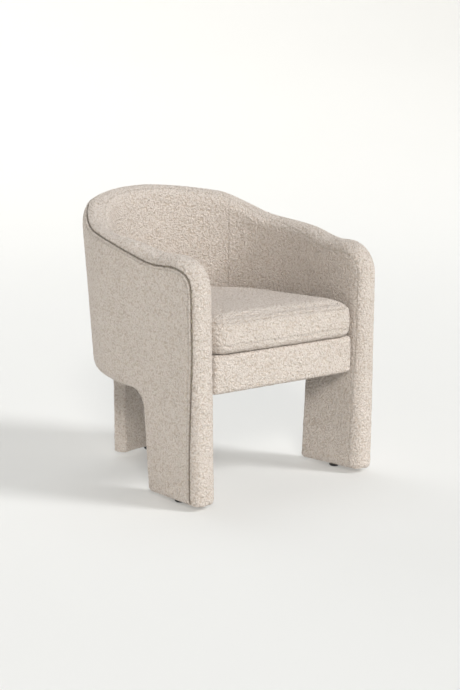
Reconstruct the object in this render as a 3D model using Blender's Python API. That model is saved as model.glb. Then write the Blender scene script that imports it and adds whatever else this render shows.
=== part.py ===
"""Upholstered barrel armchair on three legs, as separate pieces in metres.

+Z is up, the chair faces -Y and it is symmetric about X = 0. Back, arms and front legs are one
padded wall. The wall is laid out flat as (s, z), where s runs round the plan from the centre of
the back, and depth runs inwards from the outer skin. Every layer of it is made by the same few
functions.
"""

import math
from collections import namedtuple

import bmesh
import bpy
from mathutils import Vector
from mathutils.geometry import delaunay_2d_cdt

# Plan of the wall's outer skin: half a circle at the back, then straight arms
PLAN_R = 0.300
PLAN_Y = -0.0137
ARM_RUN = 0.290
ARC = PLAN_R * math.pi / 2
S_END = ARC + ARM_RUN
ARC_COLUMNS = 11
ARM_COLUMNS = 7
LEAN_FROM = 0.200
LEAN_BACK, LEAN_SIDE, LEAN_FRONT = 0.036, 0.078, 0.012

# Wall section
WALL = 0.070
ROLL = 0.0345
LEG_EDGE = 0.012
SHELL_EDGE = 0.038
CLOTH = 0.0025
GAP = 0.0010
ROLL_GAP = 0.0024
WADDING_DEPTHS = (0.0035, 0.0058, 0.0090)
PANEL_DEPTHS = (0.0100, 0.0250)
FOAM_DEPTHS = (0.0260, 0.0350, 0.0500, 0.0610, 0.0665)

# Outline of the wall, unrolled
TOP_Z = ((0.0, 0.720), (0.28, 0.701), (0.50, 0.638), (0.70, 0.614), (0.85, 0.592), (1.0, 0.592))
CORNER_R = 0.084
LEG_BASE = 0.012
LEG_RUN = 0.200
SHELL_Z = 0.261
FILLET_R = 0.045
SEAM_BACK, SEAM_TOP, SEAM_FRONT, SEAM_FOOT = 0.008, 0.0255, 0.0165, 0.028
SEAM_CLIMB = (0.40, 0.60)
SEAM_TURN = 0.064
SEAM_SPREAD = (0.06, 0.40)
FOOT_LEADS = (0.020, 0.0265, 0.0277)
INSIDE_SEAM = ARC * 6 / ARC_COLUMNS
PANEL_JOINT = ARC * 9 / ARC_COLUMNS
ROLL_JOINT = ARC + ARM_RUN * 4 / ARM_COLUMNS
ROWS = (0.31, 0.41, 0.51, 0.61)
LEG_ROWS = (0.09, 0.20)

# Timber in each front leg: how far its edges keep from the leg's, and its depth and top
BLOCK_BACK, BLOCK_FRONT, BLOCK_RISE = 0.022, 0.0465, 0.006
BLOCK_TOP, BLOCK_DEPTH = 0.342, 0.052

# Rear leg
REAR_HALF = ARC * 3 / ARC_COLUMNS
REAR_DEPTHS = (0.004, 0.042)
REAR_EDGE = 0.006
POST_INSET = 0.0103
DOWEL_S = 0.075

# Seat box between the arms
BOX_HALF = 0.2262
BOX_FRONT = -0.2837
BOX_Z = (0.2655, 0.358)
RAIL_T = 0.022
RAIL_Z = (0.290, 0.345)
BOLT_Y = (-0.2037, -0.0937)
BOLT_Z = 0.3175
BOLT_R = 0.004
BOX_PLAY = 0.0005
RAIL_BACK = BOX_FRONT + 0.044
RAIL_DROP = 0.018
RAIL_EDGE = 0.009
LONG_LIFT, CROSS_LIFT, PAD_LIFT = 0.0004, 0.0023, 0.0043
STRAP_W, STRAP_T = 0.050, 0.0015
STRAP_LONG_X = (-0.126, -0.042, 0.042, 0.126)
STRAP_CROSS_Y = (-0.1637, -0.0737, 0.0163)

# Loose seat cushion
CUSHION_HALF = 0.2290
CUSHION_FRONT = -0.2967
CUSHION_BACK_R = 0.2270
CUSHION_SIDE_Y = -0.1237
CUSHION_Z = (0.3590, 0.4400)
CUSHION_CROWN = 0.016
CUSHION_SIDE = 0.020
CORNER_CUSHION = 0.045
ZIP_Z = 0.398
ZIP_HALF_ANGLE = math.radians(48)
ZIP_SLOT_HALF, TAPE_HALF = 0.0065, 0.0060
TAPE_DEPTHS = (0.0030, 0.0012)
SLIDER_T, SLIDER_HALF, SLIDER_TURN = 0.0026, 0.005, 0.022
PULL_HALF, PULL_T, PULL_ENDS = 0.0024, 0.0005, (0.0008, -0.014)

# Feet
GLIDE_R = 0.013
GLIDE_Y = -0.1937

# Turned shapes, as (radius, height) from one end of the axis to the other
GLIDE = ((0, 0), (GLIDE_R - 0.003, 0), (GLIDE_R, 0.003), (GLIDE_R, LEG_BASE - 0.0004),
         (0.0028, LEG_BASE - 0.0004), (0.0028, 0.0056), (0.0068, 0.002), (0, 0.002))
PIN = ((0, 0.0025), (0.0052, 0.0025), (0.0021, 0.0054), (0.0021, 0.038), (0, 0.041))
PIN_HOLE = ((0, 0.004), (0.0025, 0.004), (0.0025, 0.042), (0, 0.042))
DOWEL = ((0, 0.205), (0.0025, 0.207), (0.0030, 0.210), (0.0030, 0.325), (0, 0.328))
DOWEL_HOLE = ((0, 0.203), (0.0035, 0.203), (0.0035, 0.330), (0, 0.330))
BOLT = ((0, -0.0045), (0.0075, -0.0045), (0.0075, -0.0006), (BOLT_R, -0.0003), (BOLT_R, 0.066),
        (0, 0.068))
BOLT_HOLE = ((0, -0.01), (BOLT_R + 0.0004, -0.01), (BOLT_R + 0.0004, 0.0695), (0, 0.0695))

Rim = namedtuple("Rim", "s z ds dz core lead")


def clear_scene():
    for obj in list(bpy.data.objects):
        bpy.data.objects.remove(obj, do_unlink=True)


def material(name, colour, roughness, metallic=0.0, sheen=0.0):
    made = bpy.data.materials.new(name)
    made.use_nodes = True
    shader = made.node_tree.nodes["Principled BSDF"]
    shader.inputs["Base Color"].default_value = (*colour, 1.0)
    shader.inputs["Roughness"].default_value = roughness
    shader.inputs["Metallic"].default_value = metallic
    shader.inputs["Sheen Weight"].default_value = sheen
    return made


def finish(obj, colour, roughness=0.9, metallic=0.0, sheen=0.0, smooth=True):
    """Gives the object its own material and its shading."""
    obj.data.materials.append(material(obj.name, colour, roughness, metallic, sheen))
    for face in obj.data.polygons:
        face.use_smooth = smooth
    return obj


def solid(name, points, faces, merge=1e-5):
    """A closed object facing outwards, from points and faces that may repeat a point."""
    mesh = bmesh.new()
    corners = [mesh.verts.new(point) for point in points]
    for face in faces:
        if len(set(face)) > 2:
            mesh.faces.new([corners[i] for i in face])
    bmesh.ops.remove_doubles(mesh, verts=mesh.verts, dist=merge)
    bmesh.ops.dissolve_degenerate(mesh, edges=mesh.edges, dist=merge)
    bmesh.ops.recalc_face_normals(mesh, faces=mesh.faces)
    data = bpy.data.meshes.new(name)
    mesh.to_mesh(data)
    mesh.free()
    obj = bpy.data.objects.new(name, data)
    bpy.context.scene.collection.objects.link(obj)
    return obj


# ---------------------------------------------------------------- the wall's mapping


def smooth_step(t):
    t = min(max(t, 0.0), 1.0)
    return t * t * (3 - 2 * t)


def lean(run):
    """How far the wall leans out, per metre of height."""
    if run <= ARC:
        return LEAN_BACK + (LEAN_SIDE - LEAN_BACK) * smooth_step(run / ARC)
    return LEAN_SIDE + (LEAN_FRONT - LEAN_SIDE) * smooth_step((run - ARC) / ARM_RUN)


def wall_point(s, z, depth):
    run = abs(s)
    turn = min(run, ARC) / PLAN_R
    out = PLAN_R - depth + lean(run) * (z - LEAN_FROM)
    x = out * math.sin(turn)
    y = PLAN_Y + out * math.cos(turn) - max(run - ARC, 0.0)
    return Vector((math.copysign(x, s), y, z))


def upright_point(s, z, depth):
    """A point of the rear leg, which follows the wall in plan but stands straight below the shell."""
    above = wall_point(s, max(z, SHELL_Z), depth)
    return Vector((above.x, above.y, z))


def top_z(s):
    """Height of the wall's top edge: smooth between the knots, with no overshoot."""
    knots = [(share * S_END, z) for share, z in TOP_Z]
    knots.insert(0, (-knots[1][0], knots[1][1]))
    slopes = [(b[1] - a[1]) / (b[0] - a[0]) for a, b in zip(knots, knots[1:])]
    tangents = [0.0]
    for before, after in zip(slopes, slopes[1:]):
        tangents.append(2 * before * after / (before + after) if before * after > 0 else 0.0)
    tangents.append(0.0)
    s = min(abs(s), S_END)
    for i in range(1, len(knots) - 1):
        (s0, z0), (s1, z1) = knots[i], knots[i + 1]
        if s <= s1:
            h = s1 - s0
            t = (s - s0) / h
            bend = h * t * (1 - t)
            ease = smooth_step(t)
            return z0 + (z1 - z0) * ease + bend * ((1 - t) * tangents[i] - t * tangents[i + 1])
    return knots[-1][1]


def columns():
    """Stations along s shared by every layer, so that layers keep their distance."""
    arc = [ARC * i / ARC_COLUMNS for i in range(ARC_COLUMNS + 1)]
    return arc + [ARC + ARM_RUN * (i + 1) / ARM_COLUMNS for i in range(ARM_COLUMNS)]


def arc_angles(steps):
    return [math.pi / 2 * i / steps for i in range(steps + 1)]


def nose_core(lead, skin):
    """Half-width of the flat under a leg's nose, where lead is the distance behind its front."""
    if lead >= ROLL:
        return WALL / 2 - LEG_EDGE
    chord = math.sqrt(max((ROLL - skin) ** 2 - (ROLL - lead) ** 2, 0.0))
    return max(WALL / 2 - ROLL, WALL / 2 - ROLL + chord - (LEG_EDGE - skin))


def top_and_front(skin):
    """The rolled part of one half's rim, from the centre of the back to the foot of the front leg."""
    r = ROLL - skin
    core = WALL / 2 - ROLL
    turn_s, turn_z = S_END - CORNER_R, top_z(S_END - CORNER_R) - CORNER_R
    rim = [Rim(s, top_z(s) - skin, 0, -r, core, skin) for s in columns() if s < turn_s - 0.01]
    for a in arc_angles(5):
        reach = CORNER_R - skin
        rim.append(
            Rim(turn_s + reach * math.sin(a), turn_z + reach * math.cos(a),
                -r * math.sin(a), -r * math.cos(a), core, skin)
        )
    for z in (0.40, 0.27, 0.14, LEG_BASE + LEG_EDGE):
        rim.append(Rim(S_END - skin, z, -r, 0, core, skin))
    return rim


def foot_front(skin):
    """The rim under the front leg's nose. Each point's inset leads to the same mitre."""
    rim = []
    reach = LEG_EDGE - skin
    for a in arc_angles(3)[1:]:
        s = S_END - LEG_EDGE + reach * math.cos(a)
        z = LEG_BASE + LEG_EDGE - reach * math.sin(a)
        lead = S_END - s
        rim.append(Rim(s, z, lead - ROLL, LEG_BASE + LEG_EDGE - z, nose_core(lead, skin), lead))
    for lead in FOOT_LEADS:
        rim.append(Rim(S_END - lead, LEG_BASE + skin, lead - ROLL, reach, nose_core(lead, skin), lead))
    return rim


def foot_and_shell(skin, front):
    """The rim from s = front under the leg, up its back edge and along the shell to the centre."""
    core = WALL / 2 - LEG_EDGE
    reach = LEG_EDGE - skin
    back = S_END - LEG_RUN
    far = math.inf
    rim = []
    for s in (front, S_END - 0.10):
        rim.append(Rim(s, LEG_BASE + skin, 0, reach, core, far))
    for a in arc_angles(2):
        rim.append(
            Rim(back + LEG_EDGE - reach * math.sin(a), LEG_BASE + LEG_EDGE - reach * math.cos(a),
                reach * math.sin(a), reach * math.cos(a), core, far)
        )
    rim.append(Rim(back + skin, 0.12, reach, 0, core, far))
    for a in arc_angles(3):
        hollow = FILLET_R + skin
        rim.append(
            Rim(back - FILLET_R + hollow * math.cos(a), SHELL_Z - FILLET_R + hollow * math.sin(a),
                reach * math.cos(a), reach * math.sin(a), core, far)
        )
    for s in reversed(columns()):
        if s <= ARC:
            share = smooth_step((back - FILLET_R - s) / 0.15)
            edge = LEG_EDGE + (SHELL_EDGE - LEG_EDGE) * share
            rim.append(Rim(s, SHELL_Z + skin, 0, edge - skin, WALL / 2 - min(edge, ROLL), far))
    return rim


def half_rim(skin, cut):
    """Right half of the wall's rim. With a cut, the rolled edge is cut off square that far in."""
    rolled = top_and_front(skin)
    if cut is None:
        under = foot_front(skin) + foot_and_shell(skin, S_END - ROLL)
        return rolled + under
    straight = WALL / 2
    square = []
    for point in top_and_front(cut):
        square.append(Rim(point.s, point.z, 0, 0, straight, cut))
    return square + foot_and_shell(skin, S_END - cut)


def mirrored(rim):
    return [p._replace(s=-p.s, ds=-p.ds) for p in reversed(rim)]


def whole_rim(skin, cut=None):
    half = half_rim(skin, cut)
    return half + mirrored(half)[1:-1]


def arm_rim(skin, start, cut=None):
    """Rim of the right arm and leg, from the column at s = start, with a gap at the joint."""
    return [p for p in half_rim(skin, cut) if p.s > start - 1e-6]


def back_rim(skin, end, cut=None):
    """Rim of the back between the columns at s = -end and s = end."""
    half = [p for p in half_rim(skin, cut) if p.s < end + 1e-6]
    top = [p for p in half if p.z > 0.5]
    low = [p for p in half if p.z <= 0.5]
    return mirrored(top)[:-1] + top + low + mirrored(low)[1:]


def shift(rim, joints, gap=GAP / 2):
    """Draws the rim's points on each joint back from it by half a gap, towards the piece's middle."""
    middle = sum(p.s for p in rim) / len(rim)
    moved = []
    for p in rim:
        on_joint = any(abs(p.s - joint) < 1e-6 for joint in joints)
        step = math.copysign(gap, middle - p.s) if on_joint else 0.0
        moved.append(p._replace(s=p.s + step))
    return moved


# ---------------------------------------------------------------- solids of the wall


def cap_triangles(ring):
    """Triangles filling the closed ring of (s, z) points, with the shared grid inside it.

    Returns the extra grid points and faces that index ring + extra.
    """
    ring2 = []
    index = []
    for point in ring:
        if ring2 and (Vector(point) - ring2[-1]).length < 1e-6:
            index.append(index[-1])
            continue
        index.append(len(ring2))
        ring2.append(Vector(point))
    while (ring2[0] - ring2[-1]).length < 1e-6:
        ring2.pop()
    index = [i % len(ring2) for i in index]
    first_of = {}
    for place, i in enumerate(index):
        first_of.setdefault(i, place)
    stations = columns()
    stations = [-s for s in reversed(stations[1:])] + stations
    inner = [Vector((s, z)) for s in stations for z in ROWS + LEG_ROWS if well_inside(s, z, ring2)]
    edges = [(i, (i + 1) % len(ring2)) for i in range(len(ring2))]
    points, _, faces, origin, _, _ = delaunay_2d_cdt(ring2 + inner, edges, [], 1, 1e-7)
    back_to = {}
    for i, sources in enumerate(origin):
        source = sources[0]
        if source < len(ring2):
            back_to[i] = first_of[source]
        else:
            back_to[i] = len(ring) + source - len(ring2)
    return [tuple(p) for p in inner], [tuple(back_to[i] for i in face) for face in faces]


def well_inside(s, z, ring):
    """Whether the point is inside the ring and clear of its edges."""
    inside = False
    here = Vector((s, z))
    for a, b in zip(ring, ring[1:] + ring[:1]):
        along = b - a
        share = min(max((here - a).dot(along) / along.length_squared, 0.0), 1.0)
        if (here - a - along * share).length < 0.012:
            return False
        if (a.y > z) != (b.y > z) and s < a.x + along.x * (z - a.y) / along.y:
            inside = not inside
    return inside


def inset_at(p, depth, skin):
    """(s, z) of the rim point on the section at this depth."""
    half = WALL / 2 - skin
    away = abs(depth - WALL / 2)
    rise = 0.0 if half <= p.core else min(max((away - p.core) / (half - p.core), 0.0), 1.0)
    share = 1 - math.sqrt(1 - rise * rise)
    return p.s + p.ds * share, p.z + p.dz * share


def slab(name, rim, depths, skin, square=False):
    """A layer of the wall between the first and last depth, following the rounded edges.

    A square layer, such as plywood, keeps the outline of its smaller face all through.
    """
    levels = []
    for depth in depths:
        levels.append([inset_at(p, depth, skin) for p in rim])
    if square:
        levels = [levels[0]] * len(depths)
    points = []
    for depth, level in zip(depths, levels):
        points += [wall_point(s, z, depth) for s, z in level]
    count = len(rim)
    faces = []
    for k in range(len(depths) - 1):
        for i in range(count):
            j = (i + 1) % count
            faces.append((k * count + i, k * count + j, (k + 1) * count + j, (k + 1) * count + i))
    for k in (0, len(depths) - 1):
        extra, triangles = cap_triangles(levels[k])
        base = len(points)
        points += [wall_point(s, z, depths[k]) for s, z in extra]
        for face in triangles:
            faces.append(tuple(k * count + i if i < count else base + i - count for i in face))
    return solid(name, points, faces)


def share_between(value, span):
    """Eased share, from 0 to 1, of the way through a span."""
    return smooth_step((value - span[0]) / (span[1] - span[0]))


def seam_inset(p):
    """Distance of the seam from the rolled edge: less round the back, more down at the foot."""
    run = abs(p.s)
    top = SEAM_BACK + (SEAM_TOP - SEAM_BACK) * share_between(run, SEAM_CLIMB)
    front = SEAM_FOOT + (SEAM_FRONT - SEAM_FOOT) * share_between(p.z, SEAM_SPREAD)
    return front + (top - front) * smooth_step((S_END - run) / SEAM_TURN)


def seam_angle(p, margin):
    """Angle round the roll where the seam lies, or None where the rim isn't rolled."""
    inset = seam_inset(p) + margin
    if p.lead >= inset - 1e-6:
        return None
    return math.acos(1 - (inset - p.lead) / (ROLL - p.lead))


def edge_point(p, angle, side, skin):
    half = WALL / 2 - skin
    out = p.core + (half - p.core) * math.sin(angle)
    share = 1 - math.cos(angle)
    return wall_point(p.s + p.ds * share, p.z + p.dz * share, WALL / 2 - side * out)


def face_cloth_levels(p, side, skin):
    """Points of a side panel's cloth from its free edge to the flat, at one rim point."""
    start = seam_angle(p, GAP / 2)
    if start is not None:
        angles = (start, start, start, start, (start + math.pi / 2) / 2, math.pi / 2)
        return [edge_point(p, a, side, skin) for a in angles]
    hem = wall_point(p.s, p.z, WALL / 2 - side * GAP / 2)
    angles = (0, 0.4, 0.8, 1.2, math.pi / 2)
    return [hem] + [edge_point(p, a, side, skin) for a in angles]


def face_cloth(name, make_rim, side, cut_edges):
    """Cloth over one side of the wall. cut_edges are the rim steps with no rounding to cover."""
    outer, inner = make_rim(0.0), make_rim(CLOTH)
    count = len(outer)
    levels = 6
    skins = []
    for rim, skin in ((outer, 0.0), (inner, CLOTH)):
        rows = [face_cloth_levels(p, side, skin) for p in rim]
        skins.append([rows[i][k] for k in range(levels) for i in range(count)])
    faces = []
    for k in range(levels - 1):
        for i in range(count):
            j = (i + 1) % count
            if i not in cut_edges(outer):
                faces.append((k * count + i, k * count + j, (k + 1) * count + j, (k + 1) * count + i))
    flat = [(p.s + p.ds, p.z + p.dz) for p in outer]
    extra, triangles = cap_triangles(flat)
    last = (levels - 1) * count
    for face in triangles:
        faces.append(tuple(last + i if i < count else levels * count + i - count for i in face))
    for points, skin in zip(skins, (0.0, CLOTH)):
        points += [wall_point(s, z, WALL / 2 - side * (WALL / 2 - skin)) for s, z in extra]
    return thicken(name, skins[0], skins[1], faces)


def thicken(name, top, under, faces):
    """A closed sheet between two sets of matching points."""
    key = {}
    merged = [key.setdefault(tuple(round(c, 6) for c in point), i) for i, point in enumerate(top)]
    clean = []
    for face in faces:
        corners = []
        for i in face:
            if not corners or merged[i] != corners[-1]:
                corners.append(merged[i])
        if corners[0] == corners[-1]:
            corners.pop()
        if len(set(corners)) > 2:
            clean.append(tuple(corners))
    sides = {}
    for face in clean:
        for a, b in zip(face, face[1:] + face[:1]):
            sides[frozenset((a, b))] = sides.get(frozenset((a, b)), 0) + 1
    base = len(top)
    everything = list(clean) + [tuple(base + i for i in reversed(face)) for face in clean]
    for pair, uses in sides.items():
        if uses == 1:
            a, b = tuple(pair)
            everything.append((a, b, base + b, base + a))
    return solid(name, list(top) + list(under), everything)


def joint_steps(joints):
    """Finds the rim steps that run straight up or down a joint between two pieces."""
    def find(rim):
        steps = set()
        for i, p in enumerate(rim):
            q = rim[(i + 1) % len(rim)]
            level = abs(p.s - q.s) < 1e-6 and abs(p.z - q.z) > 0.2
            if level and any(abs(abs(p.s) - joint) < 2 * GAP for joint in joints):
                steps.add(i)
        return steps
    return find


def roll_path(skin, start, end):
    """Rolled rim points from s = start to s = end; an end past the arm takes in the foot."""
    half = top_and_front(skin) + [p for p in foot_front(skin) if p.lead <= FOOT_LEADS[1] + 1e-6]
    path = mirrored(half)[:-1] + half
    return [p for p in path if start - 1e-6 <= p.s <= end + 1e-6]


def roll_cloth(name, start, end, joints):
    """The band of cloth over the rolled edge, between the two long seams."""
    steps = 4
    skins = []
    for skin in (0.0, CLOTH):
        points = []
        for p in shift(roll_path(skin, start, end), joints):
            limit = seam_angle(p, -GAP / 2)
            limit = 0.0 if limit is None else limit
            for k in range(-steps, steps + 1):
                side = 1 if k <= 0 else -1
                points.append(edge_point(p, limit * abs(k) / steps, side, skin))
        skins.append(points)
    wide = 2 * steps + 1
    faces = []
    for i in range(len(skins[0]) // wide - 1):
        for k in range(wide - 1):
            a = i * wide + k
            faces.append((a, a + 1, a + wide + 1, a + wide))
    return thicken(name, skins[0], skins[1], faces)


def roll_foam(name, start, end, joints):
    """The half-round foam edge under the band."""
    skin = WADDING_DEPTHS[0]
    half = top_and_front(skin) + foot_front(skin)
    foot = foot_and_shell(skin, S_END - ROLL)[0]
    half = half + [foot._replace(lead=ROLL)]
    path = mirrored(half)[:-1] + half
    path = shift([p for p in path if start - 1e-6 <= p.s <= end + 1e-6], joints)
    steps = 3
    points = []
    for p in path:
        for k in range(-steps, steps + 1):
            side = 1 if k <= 0 else -1
            points.append(edge_point(p, math.pi / 2 * abs(k) / steps, side, skin))
    wide = 2 * steps + 1
    faces = []
    for i in range(len(path) - 1):
        for k in range(wide):
            a, b = i * wide + k, i * wide + (k + 1) % wide
            faces.append((a, b, b + wide, a + wide))
    faces.append(tuple(range(wide)))
    faces.append(tuple(range(len(points) - wide, len(points))))
    return solid(name, points, faces)


# ---------------------------------------------------------------- simple solids


def prism(name, outline, z0, z1):
    count = len(outline)
    points = [(x, y, z) for z in (z0, z1) for x, y in outline]
    faces = [tuple(range(count)), tuple(range(count, 2 * count))]
    for i in range(count):
        j = (i + 1) % count
        faces.append((i, j, count + j, count + i))
    return solid(name, points, faces)


def block(name, low, high, edge=0.0):
    outline = [(low[0], low[1]), (high[0], low[1]), (high[0], high[1]), (low[0], high[1])]
    obj = prism(name, outline, low[2], high[2])
    if edge:
        add_bevel(obj, edge)
    return obj


def add_bevel(obj, width, segments=3):
    bevel = obj.modifiers.new("soft_edges", "BEVEL")
    bevel.width = width
    bevel.segments = segments
    bevel.limit_method = "ANGLE"


def turned(name, profile, centre, axis="Z", steps=20):
    """A solid turned about an axis from (radius, height) points, the first and last on the axis."""
    points = []
    for radius, height in profile:
        for i in range(steps):
            a = 2 * math.pi * i / steps
            u, v = radius * math.cos(a), radius * math.sin(a)
            offset = Vector((u, v, height)) if axis == "Z" else Vector((height, u, v))
            points.append(Vector(centre) + offset)
    faces = []
    for k in range(len(profile) - 1):
        for i in range(steps):
            j = (i + 1) % steps
            faces.append((k * steps + i, k * steps + j, (k + 1) * steps + j, (k + 1) * steps + i))
    return solid(name, points, faces)


def arc_points(radius, start, end, steps):
    """Plan points on a circle about the wall's centre, from angle start to end, measured from +Y."""
    points = []
    for i in range(steps + 1):
        a = start + (end - start) * i / steps
        points.append((radius * math.sin(a), PLAN_Y + radius * math.cos(a)))
    return points


def d_outline(half, front, steps=18):
    """A plan with a straight front and sides and a half-round back."""
    corners = [(-half, front), (half, front)]
    return corners + arc_points(half, math.pi / 2, -math.pi / 2, steps)


def arc_band(name, inner, outer, start, end, z0, z1, steps):
    outline = arc_points(outer, start, end, steps) + arc_points(inner, end, start, steps)
    return prism(name, outline, z0, z1)


def cut(obj, tool):
    difference = obj.modifiers.new("cut_" + tool.name, "BOOLEAN")
    difference.operation = "DIFFERENCE"
    difference.solver = "EXACT"
    difference.object = tool
    tool.hide_render = True
    tool.display_type = "WIRE"


# ---------------------------------------------------------------- the pieces

CREAM = (0.66, 0.58, 0.50)
FOAM = (0.80, 0.74, 0.52)
WADDING = (0.86, 0.86, 0.84)
BIRCH = (0.58, 0.42, 0.26)
PINE = (0.66, 0.50, 0.31)
BLACK = (0.02, 0.02, 0.02)
STEEL = (0.55, 0.55, 0.56)
JUTE = (0.42, 0.33, 0.22)


def build_wall():
    """Back, arms and front legs: cloth, wadding, plywood and foam."""
    cloth = [face_cloth("cover_outside", whole_rim, 1, joint_steps(()))]
    seam = INSIDE_SEAM

    def arm(skin):
        return shift(arm_rim(skin, seam), (seam,))

    def other_arm(skin):
        return mirrored(arm(skin))

    def back(skin):
        return shift(back_rim(skin, seam), (seam, -seam))

    steps = joint_steps((seam,))
    cloth.append(face_cloth("cover_inside_arm_right", arm, -1, steps))
    cloth.append(face_cloth("cover_inside_arm_left", other_arm, -1, steps))
    cloth.append(face_cloth("cover_inside_back", back, -1, steps))
    joints = (ROLL_JOINT, -ROLL_JOINT)
    cloth.append(roll_cloth("cover_roll_back", -ROLL_JOINT, ROLL_JOINT, joints))
    cloth.append(roll_cloth("cover_roll_right", ROLL_JOINT, S_END, joints))
    cloth.append(roll_cloth("cover_roll_left", -S_END, -ROLL_JOINT, joints))
    for piece in cloth:
        finish(piece, CREAM, 0.95, sheen=0.4)
    foam = [
        roll_foam("foam_roll_back", -ROLL_JOINT, ROLL_JOINT, joints),
        roll_foam("foam_roll_right", ROLL_JOINT, S_END, joints),
        roll_foam("foam_roll_left", -S_END, -ROLL_JOINT, joints),
    ]
    inner_arm = shift(arm_rim(WADDING_DEPTHS[0], seam, ROLL + ROLL_GAP), (seam,))
    inner_back = shift(back_rim(WADDING_DEPTHS[0], seam, ROLL + ROLL_GAP), (seam, -seam))
    foam.append(slab("foam_inside_arm_right", inner_arm, FOAM_DEPTHS, WADDING_DEPTHS[0]))
    foam.append(slab("foam_inside_arm_left", mirrored(inner_arm), FOAM_DEPTHS, WADDING_DEPTHS[0]))
    foam.append(slab("foam_inside_back", inner_back, FOAM_DEPTHS, WADDING_DEPTHS[0]))
    for piece in foam:
        finish(piece, FOAM, 0.9)
    joint = PANEL_JOINT
    panel_arm = shift(arm_rim(WADDING_DEPTHS[0], joint, ROLL + ROLL_GAP), (joint,))
    panel_back = shift(back_rim(WADDING_DEPTHS[0], joint, ROLL + ROLL_GAP), (joint, -joint))
    sides = (("right", panel_arm), ("left", mirrored(panel_arm)))
    for side, rim in sides:
        finish(slab("wadding_outside_" + side, rim, WADDING_DEPTHS, WADDING_DEPTHS[0]), WADDING)
        finish(slab("frame_arm_" + side, rim, PANEL_DEPTHS, WADDING_DEPTHS[0], True), BIRCH, 0.6)
    finish(slab("wadding_outside_back", panel_back, WADDING_DEPTHS, WADDING_DEPTHS[0]), WADDING)
    finish(slab("frame_back", panel_back, PANEL_DEPTHS, WADDING_DEPTHS[0], True), BIRCH, 0.6)


def leg_block_points(margin):
    """Corners of the timber inside a front leg, grown by a margin on every side."""
    s0, s1 = S_END - LEG_RUN + BLOCK_BACK - margin, S_END - BLOCK_FRONT + margin
    z0, z1 = LEG_BASE + BLOCK_RISE - margin, BLOCK_TOP + margin
    d0, d1 = PANEL_DEPTHS[1] + GAP - 4 * margin, BLOCK_DEPTH + margin
    return s0, s1, z0, z1, d0, d1


def leg_block(name, side, margin):
    """Timber block or, with a margin, the cutter for its pocket. It follows the panel's face."""
    s0, s1, z0, z1, d0, d1 = leg_block_points(margin)
    across, up = 4, 5
    points = []
    for depth in (d0, d1):
        for i in range(across + 1):
            for k in range(up + 1):
                s = s0 + (s1 - s0) * i / across
                points.append(wall_point(side * s, z0 + (z1 - z0) * k / up, depth))
    size = (across + 1) * (up + 1)
    faces = []
    for base in (0, size):
        for i in range(across):
            for k in range(up):
                a = base + i * (up + 1) + k
                faces.append((a, a + 1, a + up + 2, a + up + 1))
    border = [k for k in range(up + 1)]
    border += [i * (up + 1) + up for i in range(1, across + 1)]
    border += [across * (up + 1) + k for k in range(up - 1, -1, -1)]
    border += [i * (up + 1) for i in range(across - 1, 0, -1)]
    for a, b in zip(border, border[1:] + border[:1]):
        faces.append((a, b, b + size, a + size))
    return solid(name, points, faces)


def build_front_legs():
    """The timber in each front leg, and its glide with the pin that holds it."""
    for side, word in ((1, "right"), (-1, "left")):
        finish(leg_block("leg_block_" + word, side, 0.0), PINE, 0.6, smooth=False)
        pocket = leg_block("pocket_" + word, side, GAP)
        cut(bpy.data.objects["foam_inside_arm_" + word], pocket)
        s = ARC + PLAN_Y - GLIDE_Y
        foot = wall_point(side * s, 0.0, WALL / 2)
        build_glide(word, foot, ("cover_outside", "cover_inside_arm_" + word,
                                 "foam_inside_arm_" + word, "leg_block_" + word))


def build_glide(word, foot, above):
    """A plastic glide under a leg. Its steel pin goes up through the cloth into the timber."""
    finish(turned("glide_" + word, GLIDE, foot), BLACK, 0.4)
    finish(turned("glide_pin_" + word, PIN, foot, steps=12), STEEL, 0.3, 1.0)
    bore = turned("bore_glide_" + word, PIN_HOLE, foot, steps=12)
    for name in above:
        cut(bpy.data.objects[name], bore)


def shell_underside(depth):
    """Height of the shell's rounded bottom edge at this depth."""
    away = abs(depth - WALL / 2)
    core = WALL / 2 - ROLL
    rise = min(max((away - core) / (WALL / 2 - core), 0.0), 1.0)
    return SHELL_Z + SHELL_EDGE * (1 - math.sqrt(1 - rise * rise))


def rear_leg_solid(name, inset, half):
    """A curved upright under the back. Its top fits the shell's rounded underside."""
    d0, d1 = REAR_DEPTHS[0] + inset, REAR_DEPTHS[1] - inset
    soft = max(REAR_EDGE - inset, GAP)
    low = LEG_BASE + inset
    section = [(d0, low + soft), (d0 + soft, low), (d1 - soft, low), (d1, low + soft)]
    for i in range(6):
        depth = d1 + (d0 - d1) * i / 5
        section.append((depth, shell_underside(depth) - 0.0012 - inset))
    stations = [s for s in columns() if s < half - 1e-6] + [half]
    stations = [-s for s in reversed(stations[1:])] + stations
    count = len(section)
    points = [upright_point(s, z, depth) for s in stations for depth, z in section]
    faces = [tuple(range(count)), tuple(range(len(points) - count, len(points)))]
    for i in range(len(stations) - 1):
        for k in range(count):
            a, b = i * count + k, i * count + (k + 1) % count
            faces.append((a, b, b + count, a + count))
    return solid(name, points, faces)


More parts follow.
